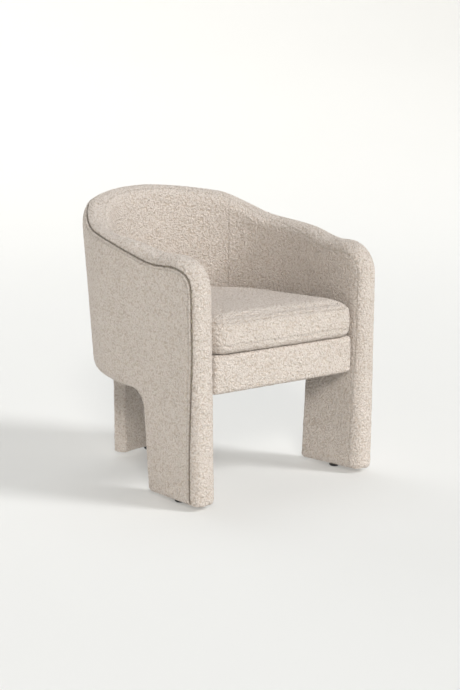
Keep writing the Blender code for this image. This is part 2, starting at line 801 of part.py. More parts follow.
def build_rear_leg():
    """Cloth sock, foam wrap and timber post of the rear leg, held by two dowels."""
    cover = rear_leg_solid("cover_rear_leg", 0.0, REAR_HALF)
    cut(cover, rear_leg_solid("room_in_rear_cover", CLOTH, REAR_HALF - CLOTH))
    foam = rear_leg_solid("foam_rear_leg", CLOTH + GAP, REAR_HALF - CLOTH - GAP)
    room = POST_INSET - 0.0008
    cut(foam, rear_leg_solid("room_in_rear_foam", room, REAR_HALF - room))
    post = rear_leg_solid("rear_leg_post", POST_INSET, REAR_HALF - POST_INSET)
    finish(cover, CREAM, 0.95, sheen=0.4)
    finish(foam, FOAM)
    finish(post, PINE, 0.6)
    depth = sum(PANEL_DEPTHS) / 2
    for word, s in (("right", DOWEL_S), ("left", -DOWEL_S)):
        top = wall_point(s, SHELL_Z + SHELL_EDGE, depth)
        foot = Vector((top.x, top.y, 0.0))
        finish(turned("rear_dowel_" + word, DOWEL, foot, steps=12), PINE, 0.6)
        bore = turned("bore_dowel_" + word, DOWEL_HOLE, foot, steps=12)
        for name in ("cover_rear_leg", "foam_rear_leg", "rear_leg_post", "cover_outside",
                     "wadding_outside_back", "foam_inside_back", "frame_back"):
            cut(bpy.data.objects[name], bore)
    middle = upright_point(0.0, 0.0, sum(REAR_DEPTHS) / 2)
    build_glide("rear", Vector((middle.x, middle.y, 0.0)),
                ("cover_rear_leg", "foam_rear_leg", "rear_leg_post"))


def build_seat_box():
    """The sprung seat between the arms: rails, straps, pad, dust cloth and padded front rail."""
    wide = BOX_HALF - BOX_PLAY
    back = RAIL_BACK
    z0, z1 = RAIL_Z
    board = BOX_HALF - CLOTH - GAP
    front = block("seat_rail_front", (-board, back - RAIL_T, z0 - RAIL_DROP), (board, back, z1))
    finish(front, PINE, 0.6, smooth=False)
    for word, side in (("right", 1), ("left", -1)):
        edge = sorted((side * (wide - RAIL_T), side * wide))
        rail = block("seat_rail_" + word, (edge[0], back + GAP, z0), (edge[1], PLAN_Y - GAP, z1))
        finish(rail, PINE, 0.6, smooth=False)
    rear = arc_band("seat_rail_rear", wide - RAIL_T, wide, math.pi / 2, -math.pi / 2, z0, z1, 18)
    finish(rear, BIRCH, 0.6, smooth=False)
    build_front_rail_padding(back - RAIL_T)
    inside = wide - RAIL_T / 2
    for i, x in enumerate(STRAP_LONG_X):
        reach = PLAN_Y + math.sqrt(inside ** 2 - (abs(x) + STRAP_W / 2) ** 2)
        low, high = z1 + LONG_LIFT, z1 + LONG_LIFT + STRAP_T
        strap = block("strap_long_%d" % (i + 1), (x - STRAP_W / 2, back - 0.014, low),
                      (x + STRAP_W / 2, reach, high))
        finish(strap, JUTE, 0.9, smooth=False)
    for i, y in enumerate(STRAP_CROSS_Y):
        reach = inside if y < PLAN_Y else math.sqrt(inside ** 2 - (y + STRAP_W / 2 - PLAN_Y) ** 2)
        low, high = z1 + CROSS_LIFT, z1 + CROSS_LIFT + STRAP_T
        strap = block("strap_cross_%d" % (i + 1), (-reach, y - STRAP_W / 2, low),
                      (reach, y + STRAP_W / 2, high))
        finish(strap, JUTE, 0.9, smooth=False)
    pad = prism("deck_pad", d_outline(wide, back + 0.002), z1 + PAD_LIFT, BOX_Z[1])
    finish(pad, CREAM, 0.95, sheen=0.3)
    dust = prism("dust_cloth", d_outline(BOX_HALF - 0.004, back + 0.002), z0 - 0.0014, z0 - 0.0004)
    finish(dust, BLACK, 0.95, smooth=False)
    build_seat_bolts()


def build_front_rail_padding(back):
    """The front rail's foam and the cloth pulled over it, open behind the board."""
    low, high = BOX_Z
    end = back + RAIL_T - GAP
    cover = block("cover_front_rail", (-BOX_HALF, BOX_FRONT, low), (BOX_HALF, end + 0.03, high),
                  RAIL_EDGE)
    room = block("room_in_front_cover", (-BOX_HALF + CLOTH, BOX_FRONT + CLOTH, low + CLOTH),
                 (BOX_HALF - CLOTH, end + 0.06, high - CLOTH), RAIL_EDGE - CLOTH)
    cut(cover, room)
    trim = block("trim_of_front_cover", (-0.3, end, low - 0.05), (0.3, end + 0.05, high + 0.05))
    cut(cover, trim)
    finish(cover, CREAM, 0.95, sheen=0.4)
    edge = CLOTH + GAP
    foam = block("foam_front_rail", (-BOX_HALF + edge, BOX_FRONT + edge, low + edge),
                 (BOX_HALF - edge, back - GAP, high - edge), RAIL_EDGE - edge)
    finish(foam, FOAM)


def build_seat_bolts():
    """Bolts from the side rails through the padded arms into leg blocks and plywood."""
    for word, side in (("right", 1), ("left", -1)):
        for place, y in zip(("front", "rear"), BOLT_Y):
            start = BOX_HALF - BOX_PLAY - RAIL_T
            profile = [(r, side * h) for r, h in BOLT]
            name = "seat_bolt_%s_%s" % (place, word)
            centre = (side * start, y, BOLT_Z)
            finish(turned(name, profile, centre, "X", 14), STEEL, 0.3, 1.0)
            hole = [(r, side * h) for r, h in BOLT_HOLE]
            bore = turned("bore_" + name, hole, centre, "X", 14)
            for target in ("seat_rail_" + word, "cover_inside_arm_" + word,
                           "foam_inside_arm_" + word, "frame_arm_" + word, "leg_block_" + word):
                cut(bpy.data.objects[target], bore)


def cushion_outline(inset, steps=14):
    """Plan of the loose cushion, drawn in by an inset: rounded front corners, round back."""
    half = CUSHION_HALF - inset
    front = CUSHION_FRONT + inset
    r = max(CORNER_CUSHION - inset, 0.010)
    back = CUSHION_BACK_R - inset
    points = []
    for i in range(5):
        a = math.pi / 2 * i / 4
        points.append((half - r + r * math.sin(a), front + r - r * math.cos(a)))
    points.append((half, CUSHION_SIDE_Y))
    for i in range(steps + 1):
        a = math.pi / 2 - math.pi * i / steps
        points.append((half * math.sin(a), PLAN_Y + back * math.cos(a)))
    points.append((-half, CUSHION_SIDE_Y))
    for i in range(4, -1, -1):
        a = math.pi / 2 * i / 4
        points.append((-half + r - r * math.sin(a), front + r - r * math.cos(a)))
    return points


def cushion_solid(name, inset):
    """The cushion's body at this depth under its cloth: rounded edges and a crowned top."""
    low, high = CUSHION_Z[0] + inset, CUSHION_Z[1] - inset
    soft = CUSHION_SIDE - inset
    rings = [(0.06, low), (soft, low), (soft * 0.3, low + soft * 0.25), (0.0, low + soft)]
    rings += [(0.0, high - soft), (soft * 0.3, high - soft * 0.25), (soft, high + 0.001)]
    rings.append((0.09, high + CUSHION_CROWN * 0.75))
    points = []
    for back, z in rings:
        points += [(x, y, z) for x, y in cushion_outline(inset + back)]
    count = len(cushion_outline(0.0))
    faces = [tuple(range(count))]
    for k in range(len(rings) - 1):
        for i in range(count):
            j = (i + 1) % count
            faces.append((k * count + i, k * count + j, (k + 1) * count + j, (k + 1) * count + i))
    last = (len(rings) - 1) * count
    points.append((0.0, PLAN_Y - 0.03, high + CUSHION_CROWN))
    for i in range(count):
        faces.append((last + i, last + (i + 1) % count, len(points) - 1))
    return solid(name, points, faces)


def build_cushion():
    """Loose cushion: sewn cover with a zip at the back, and its foam core."""
    cover = cushion_solid("cushion_cover", 0.0)
    cut(cover, cushion_solid("room_in_cushion", CLOTH))
    outer, inner = CUSHION_BACK_R + 0.01, CUSHION_BACK_R - 0.0022
    slot = arc_band("zip_slot", inner - 0.006, outer, ZIP_HALF_ANGLE + 0.01, -ZIP_HALF_ANGLE - 0.01,
                    ZIP_Z - ZIP_SLOT_HALF, ZIP_Z + ZIP_SLOT_HALF, 16)
    cut(cover, slot)
    finish(cover, CREAM, 0.95, sheen=0.4)
    finish(cushion_solid("cushion_foam", CLOTH + 0.0022), FOAM)
    tape_in, tape_out = [CUSHION_BACK_R - depth for depth in TAPE_DEPTHS]
    tape = arc_band("zip_tape", tape_in, tape_out, ZIP_HALF_ANGLE, -ZIP_HALF_ANGLE,
                    ZIP_Z - TAPE_HALF, ZIP_Z + TAPE_HALF, 16)
    finish(tape, CREAM, 0.8, smooth=False)


def build_zip():
    """Slider and pull tab. Each has its origin on the axis it turns about."""
    turn = ZIP_HALF_ANGLE - 0.04
    near = CUSHION_BACK_R + 0.0003
    slider = arc_band("zip_slider", near, near + SLIDER_T, turn - SLIDER_TURN, turn + SLIDER_TURN,
                      ZIP_Z - SLIDER_HALF, ZIP_Z + SLIDER_HALF, 2)
    add_bevel(slider, 0.0006, 2)
    finish(slider, STEEL, 0.3, 1.0)
    set_origin(slider, (0.0, PLAN_Y, ZIP_Z))
    radius = near + SLIDER_T + 0.0009
    pivot = Vector((radius * math.sin(turn), PLAN_Y + radius * math.cos(turn), ZIP_Z + 0.003))
    along = Vector((math.cos(turn), -math.sin(turn), 0.0))
    out = Vector((math.sin(turn), math.cos(turn), 0.0))
    points = []
    for u in (-PULL_HALF, PULL_HALF):
        for v in (-PULL_T, PULL_T):
            for w in PULL_ENDS:
                points.append(pivot + along * u + out * v + Vector((0, 0, w)))
    faces = [(0, 1, 3, 2), (4, 6, 7, 5), (0, 4, 5, 1), (2, 3, 7, 6), (0, 2, 6, 4), (1, 5, 7, 3)]
    tab = solid("zip_pull", points, faces)
    add_bevel(tab, 0.0003, 1)
    finish(tab, STEEL, 0.3, 1.0)
    set_origin(tab, pivot)


def set_origin(obj, place):
    """Moves the object's origin onto its joint axis, with the shape where it was."""
    place = Vector(place)
    for vertex in obj.data.vertices:
        vertex.co = vertex.co - place
    obj.location = place


def main():
    clear_scene()
    build_wall()
    build_front_legs()
    build_rear_leg()
    build_seat_box()
    build_cushion()
    build_zip()


main()
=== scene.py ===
"""Looks of the upholstered barrel armchair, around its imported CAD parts.

Metres, +Z up, the chair faces -Y. The padded wall (back, arms and front legs) is laid out flat as
(s, z): s runs round the plan from the centre of the back, and depth runs inwards from the outer
skin, as in the CAD. Its skins are built on that map, then cut apart at their seams.
"""

import math
from collections import namedtuple

import bmesh
import bpy
import numpy as np
from mathutils import Matrix, Vector
from mathutils.geometry import delaunay_2d_cdt


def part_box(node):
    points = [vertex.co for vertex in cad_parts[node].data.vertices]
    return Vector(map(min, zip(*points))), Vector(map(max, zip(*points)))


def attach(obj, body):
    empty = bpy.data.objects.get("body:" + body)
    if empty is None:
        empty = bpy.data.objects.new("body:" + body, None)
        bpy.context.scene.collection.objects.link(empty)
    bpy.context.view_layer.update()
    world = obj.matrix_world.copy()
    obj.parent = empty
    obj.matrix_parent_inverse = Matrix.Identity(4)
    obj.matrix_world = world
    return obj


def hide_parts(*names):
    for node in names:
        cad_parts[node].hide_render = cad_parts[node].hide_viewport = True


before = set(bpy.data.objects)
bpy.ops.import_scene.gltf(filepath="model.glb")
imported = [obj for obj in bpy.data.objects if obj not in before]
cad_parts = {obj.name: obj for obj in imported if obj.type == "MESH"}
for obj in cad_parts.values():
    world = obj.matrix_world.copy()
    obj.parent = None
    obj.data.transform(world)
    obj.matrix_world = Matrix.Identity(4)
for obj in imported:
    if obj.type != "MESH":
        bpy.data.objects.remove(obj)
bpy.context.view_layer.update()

# The wall's plan, lean and section, as in the CAD
PLAN_R, PLAN_Y = 0.300, -0.0137
ARM_RUN = 0.290
ARC = PLAN_R * math.pi / 2
S_END = ARC + ARM_RUN
LEAN_FROM = 0.200
LEAN_BACK, LEAN_SIDE, LEAN_FRONT = 0.036, 0.078, 0.012
WALL = 0.070
ROLL = 0.0345
LEG_EDGE, SHELL_EDGE, SHELL_BLEND = 0.012, 0.038, 0.15
TOP_Z = ((0.0, 0.720), (0.28, 0.701), (0.50, 0.638), (0.70, 0.614), (0.85, 0.592), (1.0, 0.592))
CORNER_R = 0.084
LEG_BASE, LEG_RUN = 0.012, 0.200
SHELL_Z, FILLET_R = 0.261, 0.045
SEAM_BACK, SEAM_TOP, SEAM_FRONT, SEAM_FOOT = 0.008, 0.0255, 0.0165, 0.028
SEAM_CLIMB = (0.40, 0.60)
SEAM_TURN = 0.064
SEAM_SPREAD = (0.06, 0.40)
INSIDE_SEAM = ARC * 6 / 11
ROLL_JOINT = ARC + ARM_RUN * 4 / 7
REAR_HALF = ARC * 3 / 11
REAR_DEPTHS = (0.004, 0.042)
REAR_EDGE, REAR_TUCK = 0.008, 0.0015

# Mesh fineness and seam shapes
STEP = 0.0056
CLUSTER = (-0.0075, -0.0048, -0.0028, -0.0012, 0.0, 0.0012, 0.0028, 0.0048, 0.0075)
NEAR_SEAM = (0.0, 0.0009, 0.0020, 0.0033, 0.0048, 0.0066, 0.0088)
FURTHER = 6
NEAR_ROOM, FLAT_MARGIN, CORNER_SHARE = 0.014, 0.010, 0.6
GRID_S, GRID_Z, GRID_CLEAR = 0.80, 0.75, 0.6
TUCK, TUCK_W = 0.0030, 0.0018
HEM_TUCK = 0.0014
RIDGE, RIDGE_AT, RIDGE_W = 0.0014, 0.0046, 0.0018
GROOVE, GROOVE_AT, GROOVE_W = 0.0016, 0.0078, 0.0014
GROOVE_SHADE = 0.40
CROSS_SEAM, CROSS_W = 0.0014, 0.0014
CREASE_W, SOFT_CREASE = 0.0021, 0.12
INSIDE_SHARE, HEM_SHADE = 0.35, 0.35
INSIDE_CROSS_SHADE, ROLL_CROSS_SHADE = 0.18, 0.30
SKIN_GAP = 0.0002
ROLL_STEPS, ROLL_SPAN = 7, 0.0467
ROLL_PUFF, ROLL_PUFF_W, ROLL_CENTRE = 0.0012, 0.02, 0.03

Rim = namedtuple("Rim", "s z ds dz core lead")


# ---------------------------------------------------------------- the wall's map


def smooth_step(t):
    t = np.clip(t, 0.0, 1.0)
    return t * t * (3 - 2 * t)


def lean(run):
    """How far the wall leans out, per metre of height."""
    behind = LEAN_BACK + (LEAN_SIDE - LEAN_BACK) * smooth_step(run / ARC)
    beside = LEAN_SIDE + (LEAN_FRONT - LEAN_SIDE) * smooth_step((run - ARC) / ARM_RUN)
    return np.where(run <= ARC, behind, beside)


def wall_points(s, z, depth):
    """Points in space for arrays of places on the wall."""
    s, z, depth = np.broadcast_arrays(np.asarray(s, float), z, depth)
    run = np.abs(s)
    turn = np.minimum(run, ARC) / PLAN_R
    out = PLAN_R - depth + lean(run) * (z - LEAN_FROM)
    y = PLAN_Y + out * np.cos(turn) - np.maximum(run - ARC, 0.0)
    return np.stack([np.where(s < 0, -1.0, 1.0) * out * np.sin(turn), y, z], -1)


def along_wall(points):
    """s for points in space."""
    x, y = points[:, 0], points[:, 1] - PLAN_Y
    behind = np.arctan2(np.abs(x), y) * PLAN_R
    return np.where(x < 0, -1.0, 1.0) * np.where(y > 0, behind, ARC - y)


def top_z(s):
    """Height of the wall's top edge: smooth between the knots, with no overshoot."""
    knots = [(share * S_END, z) for share, z in TOP_Z]
    knots.insert(0, (-knots[1][0], knots[1][1]))
    slopes = [(b[1] - a[1]) / (b[0] - a[0]) for a, b in zip(knots, knots[1:])]
    tangents = [0.0]
    for before, after in zip(slopes, slopes[1:]):
        tangents.append(2 * before * after / (before + after) if before * after > 0 else 0.0)
    tangents.append(0.0)
    s = min(abs(s), S_END)
    i = max(k for k in range(1, len(knots) - 1) if knots[k][0] <= s or k == 1)
    (s0, z0), (s1, z1) = knots[i], knots[i + 1]
    h = s1 - s0
    t = (s - s0) / h
    bend = h * t * (1 - t)
    return z0 + (z1 - z0) * float(smooth_step(t)) + bend * ((1 - t) * tangents[i] - t * tangents[i + 1])


# ---------------------------------------------------------------- the wall's rim


def stations(start, end, marks=()):
    """Evenly spaced values from start to end, closer together at each mark."""
    count = max(round(abs(end - start) / STEP), 1)
    values = [start + (end - start) * i / count for i in range(count + 1)]
    low, high = min(start, end), max(start, end)
    reach = CLUSTER[-1] + STEP * 0.4
    for mark in marks:
        if low + reach < mark < high - reach:
            values = [v for v in values if abs(v - mark) > reach]
            values += [mark + step for step in CLUSTER]
    return sorted(values, reverse=start > end)


def quarter(radius):
    """Angles over a quarter turn, in steps that suit this radius."""
    count = max(round(radius * math.pi / 2 / STEP), 4)
    return [math.pi / 2 * i / count for i in range(count + 1)]


def nose_core(lead):
    """Half-width of the flat under a leg's nose, where lead is the distance behind its front."""
    if lead >= ROLL:
        return WALL / 2 - LEG_EDGE
    chord = math.sqrt(max(ROLL ** 2 - (ROLL - lead) ** 2, 0.0))
    return max(WALL / 2 - ROLL, WALL / 2 - ROLL + chord - LEG_EDGE)


def rolled_rim():
    """Half of the rolled edge, from the centre of the back to the foot of the front leg."""
    core = WALL / 2 - ROLL
    turn_s = S_END - CORNER_R
    turn_z = top_z(turn_s) - CORNER_R
    rim = [Rim(s, top_z(s), 0, -ROLL, core, 0) for s in stations(0, turn_s, (INSIDE_SEAM, ROLL_JOINT))]
    for a in quarter(CORNER_R)[1:]:
        rim.append(Rim(turn_s + CORNER_R * math.sin(a), turn_z + CORNER_R * math.cos(a),
                       -ROLL * math.sin(a), -ROLL * math.cos(a), core, 0))
    rim += [Rim(S_END, z, -ROLL, 0, core, 0) for z in stations(turn_z, LEG_BASE + LEG_EDGE)[1:]]
    for a in quarter(LEG_EDGE)[1:]:
        lead = LEG_EDGE * (1 - math.cos(a))
        z = LEG_BASE + LEG_EDGE * (1 - math.sin(a))
        rim.append(Rim(S_END - lead, z, lead - ROLL, LEG_EDGE * math.sin(a), nose_core(lead), lead))
    for lead in stations(LEG_EDGE, SEAM_FOOT)[1:]:
        rim.append(Rim(S_END - lead, LEG_BASE, lead - ROLL, LEG_EDGE, nose_core(lead), lead))
    return rim


def hem_rim():
    """The rest of the half rim: under the leg, up its back edge and along the shell."""
    core = WALL / 2 - LEG_EDGE
    back = S_END - LEG_RUN
    rim = []
    for s in stations(S_END - SEAM_FOOT, back + LEG_EDGE)[1:]:
        lead = S_END - s
        rim.append(Rim(s, LEG_BASE, min(lead - ROLL, 0), LEG_EDGE, nose_core(lead), lead))
    for a in quarter(LEG_EDGE)[1:]:
        rim.append(Rim(back + LEG_EDGE * (1 - math.sin(a)), LEG_BASE + LEG_EDGE * (1 - math.cos(a)),
                       LEG_EDGE * math.sin(a), LEG_EDGE * math.cos(a), core, math.inf))
    for z in stations(LEG_BASE + LEG_EDGE, SHELL_Z - FILLET_R)[1:]:
        rim.append(Rim(back, z, LEG_EDGE, 0, core, math.inf))
    for a in quarter(FILLET_R)[1:]:
        rim.append(Rim(back - FILLET_R * (1 - math.cos(a)), SHELL_Z - FILLET_R * (1 - math.sin(a)),
                       LEG_EDGE * math.cos(a), LEG_EDGE * math.sin(a), core, math.inf))
    for s in stations(back - FILLET_R, 0, (INSIDE_SEAM,))[1:]:
        share = float(smooth_step((back - FILLET_R - s) / SHELL_BLEND))
        edge = LEG_EDGE + (SHELL_EDGE - LEG_EDGE) * share
        rim.append(Rim(s, SHELL_Z, 0, edge, WALL / 2 - min(edge, ROLL), math.inf))
    return rim


def mirrored(rim):
    return [p._replace(s=-p.s, ds=-p.ds) for p in reversed(rim)]


def share_between(value, span):
    """Eased share, from 0 to 1, of the way through a span."""
    return float(smooth_step((value - span[0]) / (span[1] - span[0])))


def seam_start(p):
    """Distance along the section from the rim's crest to the long seam, or None at a hem."""
    run = abs(p.s)
    top = SEAM_BACK + (SEAM_TOP - SEAM_BACK) * share_between(run, SEAM_CLIMB)
    front = SEAM_FOOT + (SEAM_FRONT - SEAM_FOOT) * share_between(p.z, SEAM_SPREAD)
    inset = front + (top - front) * float(smooth_step((S_END - run) / SEAM_TURN))
    if p.lead >= inset - 1e-6:
        return None
    angle = math.acos(1 - (inset - p.lead) / (ROLL - p.lead))
    return p.core + arc_length(p) * angle / (math.pi / 2)


def arc_length(p):
    across, out = math.hypot(p.ds, p.dz), WALL / 2 - p.core
    return math.pi / 2 * math.sqrt((across ** 2 + out ** 2) / 2)


def section(p, reach):
    """(s, z, distance from mid-thickness) at each distance in reach along one rim point's section."""
    arc = arc_length(p)
    across = max(math.hypot(p.ds, p.dz), 1e-9)
    angle = np.clip((reach - p.core) / arc, 0, 1) * math.pi / 2
    further = np.maximum(reach - p.core - arc, 0.0)
    inset = (1 - np.cos(angle)) + further / across
    out = np.minimum(reach, p.core) + (WALL / 2 - p.core) * np.sin(angle)
    return p.s + p.ds * inset, p.z + p.dz * inset, out


# ---------------------------------------------------------------- meshes


def add_object(name, data):
    obj = bpy.data.objects.new(name, data)
    bpy.context.scene.collection.objects.link(obj)
    return obj


def mesh_object(name, points, faces, attributes=None):
    """A smooth mesh object. Points that coincide are joined."""
    _, first, index = np.unique(np.round(points, 6), axis=0, return_index=True, return_inverse=True)
    index = index.ravel()
    clean = []
    for face in faces:
        corners = [index[i] for i in face]
        corners = [c for k, c in enumerate(corners) if c != corners[k - 1]]
        if len(set(corners)) > 2:
            clean.append(corners)
    data = bpy.data.meshes.new(name)
    data.from_pydata([tuple(p) for p in points[first]], [], clean)
    for word, values in (attributes or {}).items():
        layer = data.attributes.new(word, "FLOAT", "POINT")
        layer.data.foreach_set("value", np.asarray(values, np.float32)[first])
    data.shade_smooth()
    return add_object(name, data)


def face_outwards(obj, outside):
    """Makes the faces agree, and turns them so that they look the way outside(centre) points."""
    mesh = bmesh.new()
    mesh.from_mesh(obj.data)
    bmesh.ops.recalc_face_normals(mesh, faces=mesh.faces)
    total = 0.0
    for face in mesh.faces:
        total += face.normal.dot(outside(face.calc_center_median())) * face.calc_area()
    if total < 0:
        bmesh.ops.reverse_faces(mesh, faces=mesh.faces)
    mesh.to_mesh(obj.data)
    mesh.free()


def vectors(collection, name):
    """One vector of each of a mesh's elements, as the rows of an array."""
    values = np.empty(len(collection) * 3)
    collection.foreach_get(name, values)
    return values.reshape(-1, 3)


def coordinates(obj):
    return vectors(obj.data.vertices, "co")


def normals(obj):
    return vectors(obj.data.vertex_normals, "vector")


def attribute(obj, name):
    values = np.empty(len(obj.data.vertices))
    obj.data.attributes[name].data.foreach_get("value", values)
    return values


def set_attribute(obj, name, values):
    layer = obj.data.attributes.get(name) or obj.data.attributes.new(name, "FLOAT", "POINT")
    layer.data.foreach_set("value", values.astype(np.float32))


def place(obj, points):
    obj.data.vertices.foreach_set("co", points.ravel())
    obj.data.update()


def push(obj, amount):
    """Moves each point along its normal."""
    place(obj, coordinates(obj) + normals(obj) * amount[:, None])


def apply_modifiers(obj):
    graph = bpy.context.evaluated_depsgraph_get()
    made = bpy.data.meshes.new_from_object(obj.evaluated_get(graph))
    obj.modifiers.clear()
    obj.data = made


def subdivide(obj):
    obj.modifiers.new("subdivide", "SUBSURF").levels = 1
    apply_modifiers(obj)


def split(obj, joint, names):
    """Cuts a skin at its joint on each arm, into pieces with these names: back, right and left."""
    s = along_wall(vectors(obj.data.polygons, "center"))
    made = []
    for name, kept in zip(names, (np.abs(s) < joint, s > joint, s < -joint)):
        mesh = bmesh.new()
        mesh.from_mesh(obj.data)
        mesh.faces.ensure_lookup_table()
        drop = [mesh.faces[i] for i in np.flatnonzero(~kept)]
        bmesh.ops.delete(mesh, geom=drop, context="FACES")
        part = bpy.data.meshes.new(name)
        mesh.to_mesh(part)
        mesh.free()
        made.append(add_object(name, part))
    bpy.data.objects.remove(obj)
    return made


# ---------------------------------------------------------------- looped pile

LOOP_SIZE, LOOP_HEIGHT = 0.0058, 0.0020
BEND_SIZE, LOOP_BEND = 0.012, 0.003
SWELL_SIZE, SWELL_HEIGHT = 0.05, 0.0004


def random_of(cell, salt):
    """Three numbers from 0 to 1 for each integer cell, always the same."""
    n = cell.astype(np.int64)
    seed = n[..., 0] * 73856093 ^ n[..., 1] * 19349663 ^ n[..., 2] * 83492791 ^ salt * 2654435761
    values = []
    for _ in range(3):
        seed = (seed ^ (seed >> 13)) * 1274126177 & 0x7FFFFFFF
        values.append((seed & 0xFFFFF) / 0xFFFFF)
    return np.stack(values, -1)


def value_noise(points, size, salt):
    """Smooth noise from -1 to 1 at this size."""
    at = points / size
    cell = np.floor(at)
    t = smooth_step(at - cell)
    total = np.zeros(len(points))
    for corner in range(8):
        bits = np.array([corner & 1, corner >> 1 & 1, corner >> 2 & 1])
        weight = np.prod(np.where(bits, t, 1 - t), axis=1)
        total += weight * random_of(cell + bits, salt)[:, 0]
    return total * 2 - 1


def loops(points, size, salt):
    """From 0 between loops to 1 on top of one: rounded cells of this size."""
    at = points / size
    cell = np.floor(at)
    nearest = np.full(len(points), 9.0)
    for dx in (-1, 0, 1):
        for dy in (-1, 0, 1):
            for dz in (-1, 0, 1):
                here = cell + (dx, dy, dz)
                gap = np.linalg.norm(here + random_of(here, salt) - at, axis=1)
                nearest = np.minimum(nearest, gap)
    return 1 - np.clip(nearest, 0, 1)


def roughen(obj):
    """Raises the pile's loops out of the surface, on slow swells."""
    points = coordinates(obj)
    bend = np.stack([value_noise(points, BEND_SIZE, k) for k in (1, 2, 3)], -1)
    height = loops(points + LOOP_BEND * bend, LOOP_SIZE, 4) - 0.5
    swell = value_noise(points, SWELL_SIZE, 5)
    set_attribute(obj, "pile", height)
    push(obj, LOOP_HEIGHT * height + SWELL_HEIGHT * swell)


def upholster(obj, outside):
    """Turns a rough cage into a finished cloth surface."""
    face_outwards(obj, outside)
    if "push" in obj.data.attributes:
        push(obj, attribute(obj, "push"))
    subdivide(obj)
    roughen(obj)


# ---------------------------------------------------------------- the wall's skins


def inside_ring(spots, ring, margin):
    """Which spots are inside the ring and at least margin from it."""
    a, b = ring, np.roll(ring, -1, axis=0)
    along = b - a
    length2 = np.maximum((along ** 2).sum(1), 1e-12)
    found = []
    for part in np.array_split(spots, max(len(spots) // 1500, 1)):
        gap = part[:, None] - a
        share = np.clip((gap * along).sum(2) / length2, 0, 1)
        near = np.linalg.norm(gap - along * share[..., None], axis=2).min(1)
        z = part[:, None, 1]
        cross = (a[:, 1] > z) != (b[:, 1] > z)
        rise = np.where(np.abs(along[:, 1]) < 1e-12, 1e-12, along[:, 1])
        hit = part[:, None, 0] < a[:, 0] + along[:, 0] * (z - a[:, 1]) / rise
        found.append((near > margin) & ((cross & hit).sum(1) % 2 == 1))
    return np.concatenate(found)


def grid_edges(cells, number):
    """The edges round the kept cells, as pairs of point numbers."""
    wide = np.pad(cells, 1)
    pairs = []
    for i, j in np.argwhere(wide[1:-1, :-1] != wide[1:-1, 1:]):
        pairs.append((number[i, j], number[i + 1, j]))
    for i, j in np.argwhere(wide[:-1, 1:-1] != wide[1:, 1:-1]):
        pairs.append((number[i, j], number[i, j + 1]))
    return pairs


def fill(ring, columns, rows, marks=()):
    """Fills a closed ring of (s, z) points: a square grid inside, and triangles next to the ring.

    Returns the grid's points, and faces that index the ring's points and then the grid's.
    """
    ring = np.asarray(ring)
    grid = np.stack(np.meshgrid(columns, rows, indexing="ij"), -1)
    keep = inside_ring(grid.reshape(-1, 2), ring, STEP * GRID_CLEAR).reshape(grid.shape[:2])
    cells = keep[:-1, :-1] & keep[1:, :-1] & keep[:-1, 1:] & keep[1:, 1:]
    used = np.zeros_like(keep)
    for view in (used[:-1, :-1], used[1:, :-1], used[:-1, 1:], used[1:, 1:]):
        view |= cells
    number = np.full(used.shape, -1)
    number[used] = np.arange(used.sum()) + len(ring)
    faces = [
        (number[i, j], number[i + 1, j], number[i + 1, j + 1], number[i, j + 1])
        for i, j in np.argwhere(cells)
    ]
    everything = np.concatenate([ring, grid[used]])
    edges = [(i, (i + 1) % len(ring)) for i in range(len(ring))] + grid_edges(cells, number)
    for mark in marks:
        edges += mark_edges(mark, ring, grid, used, number)
    local = {}
    for edge in edges:
        for i in edge:
            local.setdefault(i, len(local))
    back = list(local)
    points = [Vector(everything[i]) for i in back]
    pairs = [(local[a], local[b]) for a, b in edges]
    _, _, triangles, origin, _, _ = delaunay_2d_cdt(points, pairs, [], 1, 1e-7)
    for triangle in triangles:
        corners = [back[origin[i][0]] for i in triangle]
        centre = everything[corners].mean(0)
        i = np.searchsorted(columns, centre[0]) - 1
        j = np.searchsorted(rows, centre[1]) - 1
        inner = 0 <= i < cells.shape[0] and 0 <= j < cells.shape[1] and cells[i, j]
        if not inner:
            faces.append(tuple(corners))
    return grid[used], faces


def mark_edges(mark, ring, grid, used, number):
    """Edges that carry a seam from the grid out to the ring, at both ends of its column."""
    column = int(np.argmin(np.abs(grid[:, 0, 0] - mark)))
    rows = np.flatnonzero(used[column])
    on_mark = [i for i in range(len(ring)) if abs(ring[i][0] - mark) < 1e-6]
    pairs = []
    for row in (rows[0], rows[-1]):
        nearest = min(on_mark, key=lambda i: abs(ring[i][1] - grid[column, row, 1]))
        pairs.append((nearest, number[column, row]))
    return pairs


def bump_at(distance, place, width):
    return np.exp(-(((distance - place) / width) ** 2))


def seam_push(distance, rolled, plain):
    """How far the cloth stands out at this distance from its edge.

    A rolled edge's seam is tucked in beside a topstitched ridge. A plain seam or a hem only dips.
    """
    dip = -HEM_TUCK * bump_at(distance, 0.0, TUCK_W)
    if plain:
        return dip * np.where(rolled > 0.5, INSIDE_SHARE, 1.0)
    seam = (
        -TUCK * bump_at(distance, 0.0, TUCK_W)
        + RIDGE * bump_at(distance, RIDGE_AT, RIDGE_W)
        - GROOVE * bump_at(distance, GROOVE_AT, GROOVE_W)
    )
    return np.where(rolled > 0.5, seam, dip)


def cross_seam(s, marks):
    """A shallow seam across the cloth at each mark."""
    total = np.zeros(len(s))
    for mark in marks:
        total += bump_at(s, mark, CROSS_W)
    return total


def band_faces(rows, wide, closed):
    """Faces between rows of points, this many in a row, from the last row to the first if closed."""
    faces = []
    for i in range(rows if closed else rows - 1):
        a, b = i * wide, (i + 1) % rows * wide
        faces += [(a + k, b + k, b + k + 1, a + k + 1) for k in range(wide - 1)]
    return faces


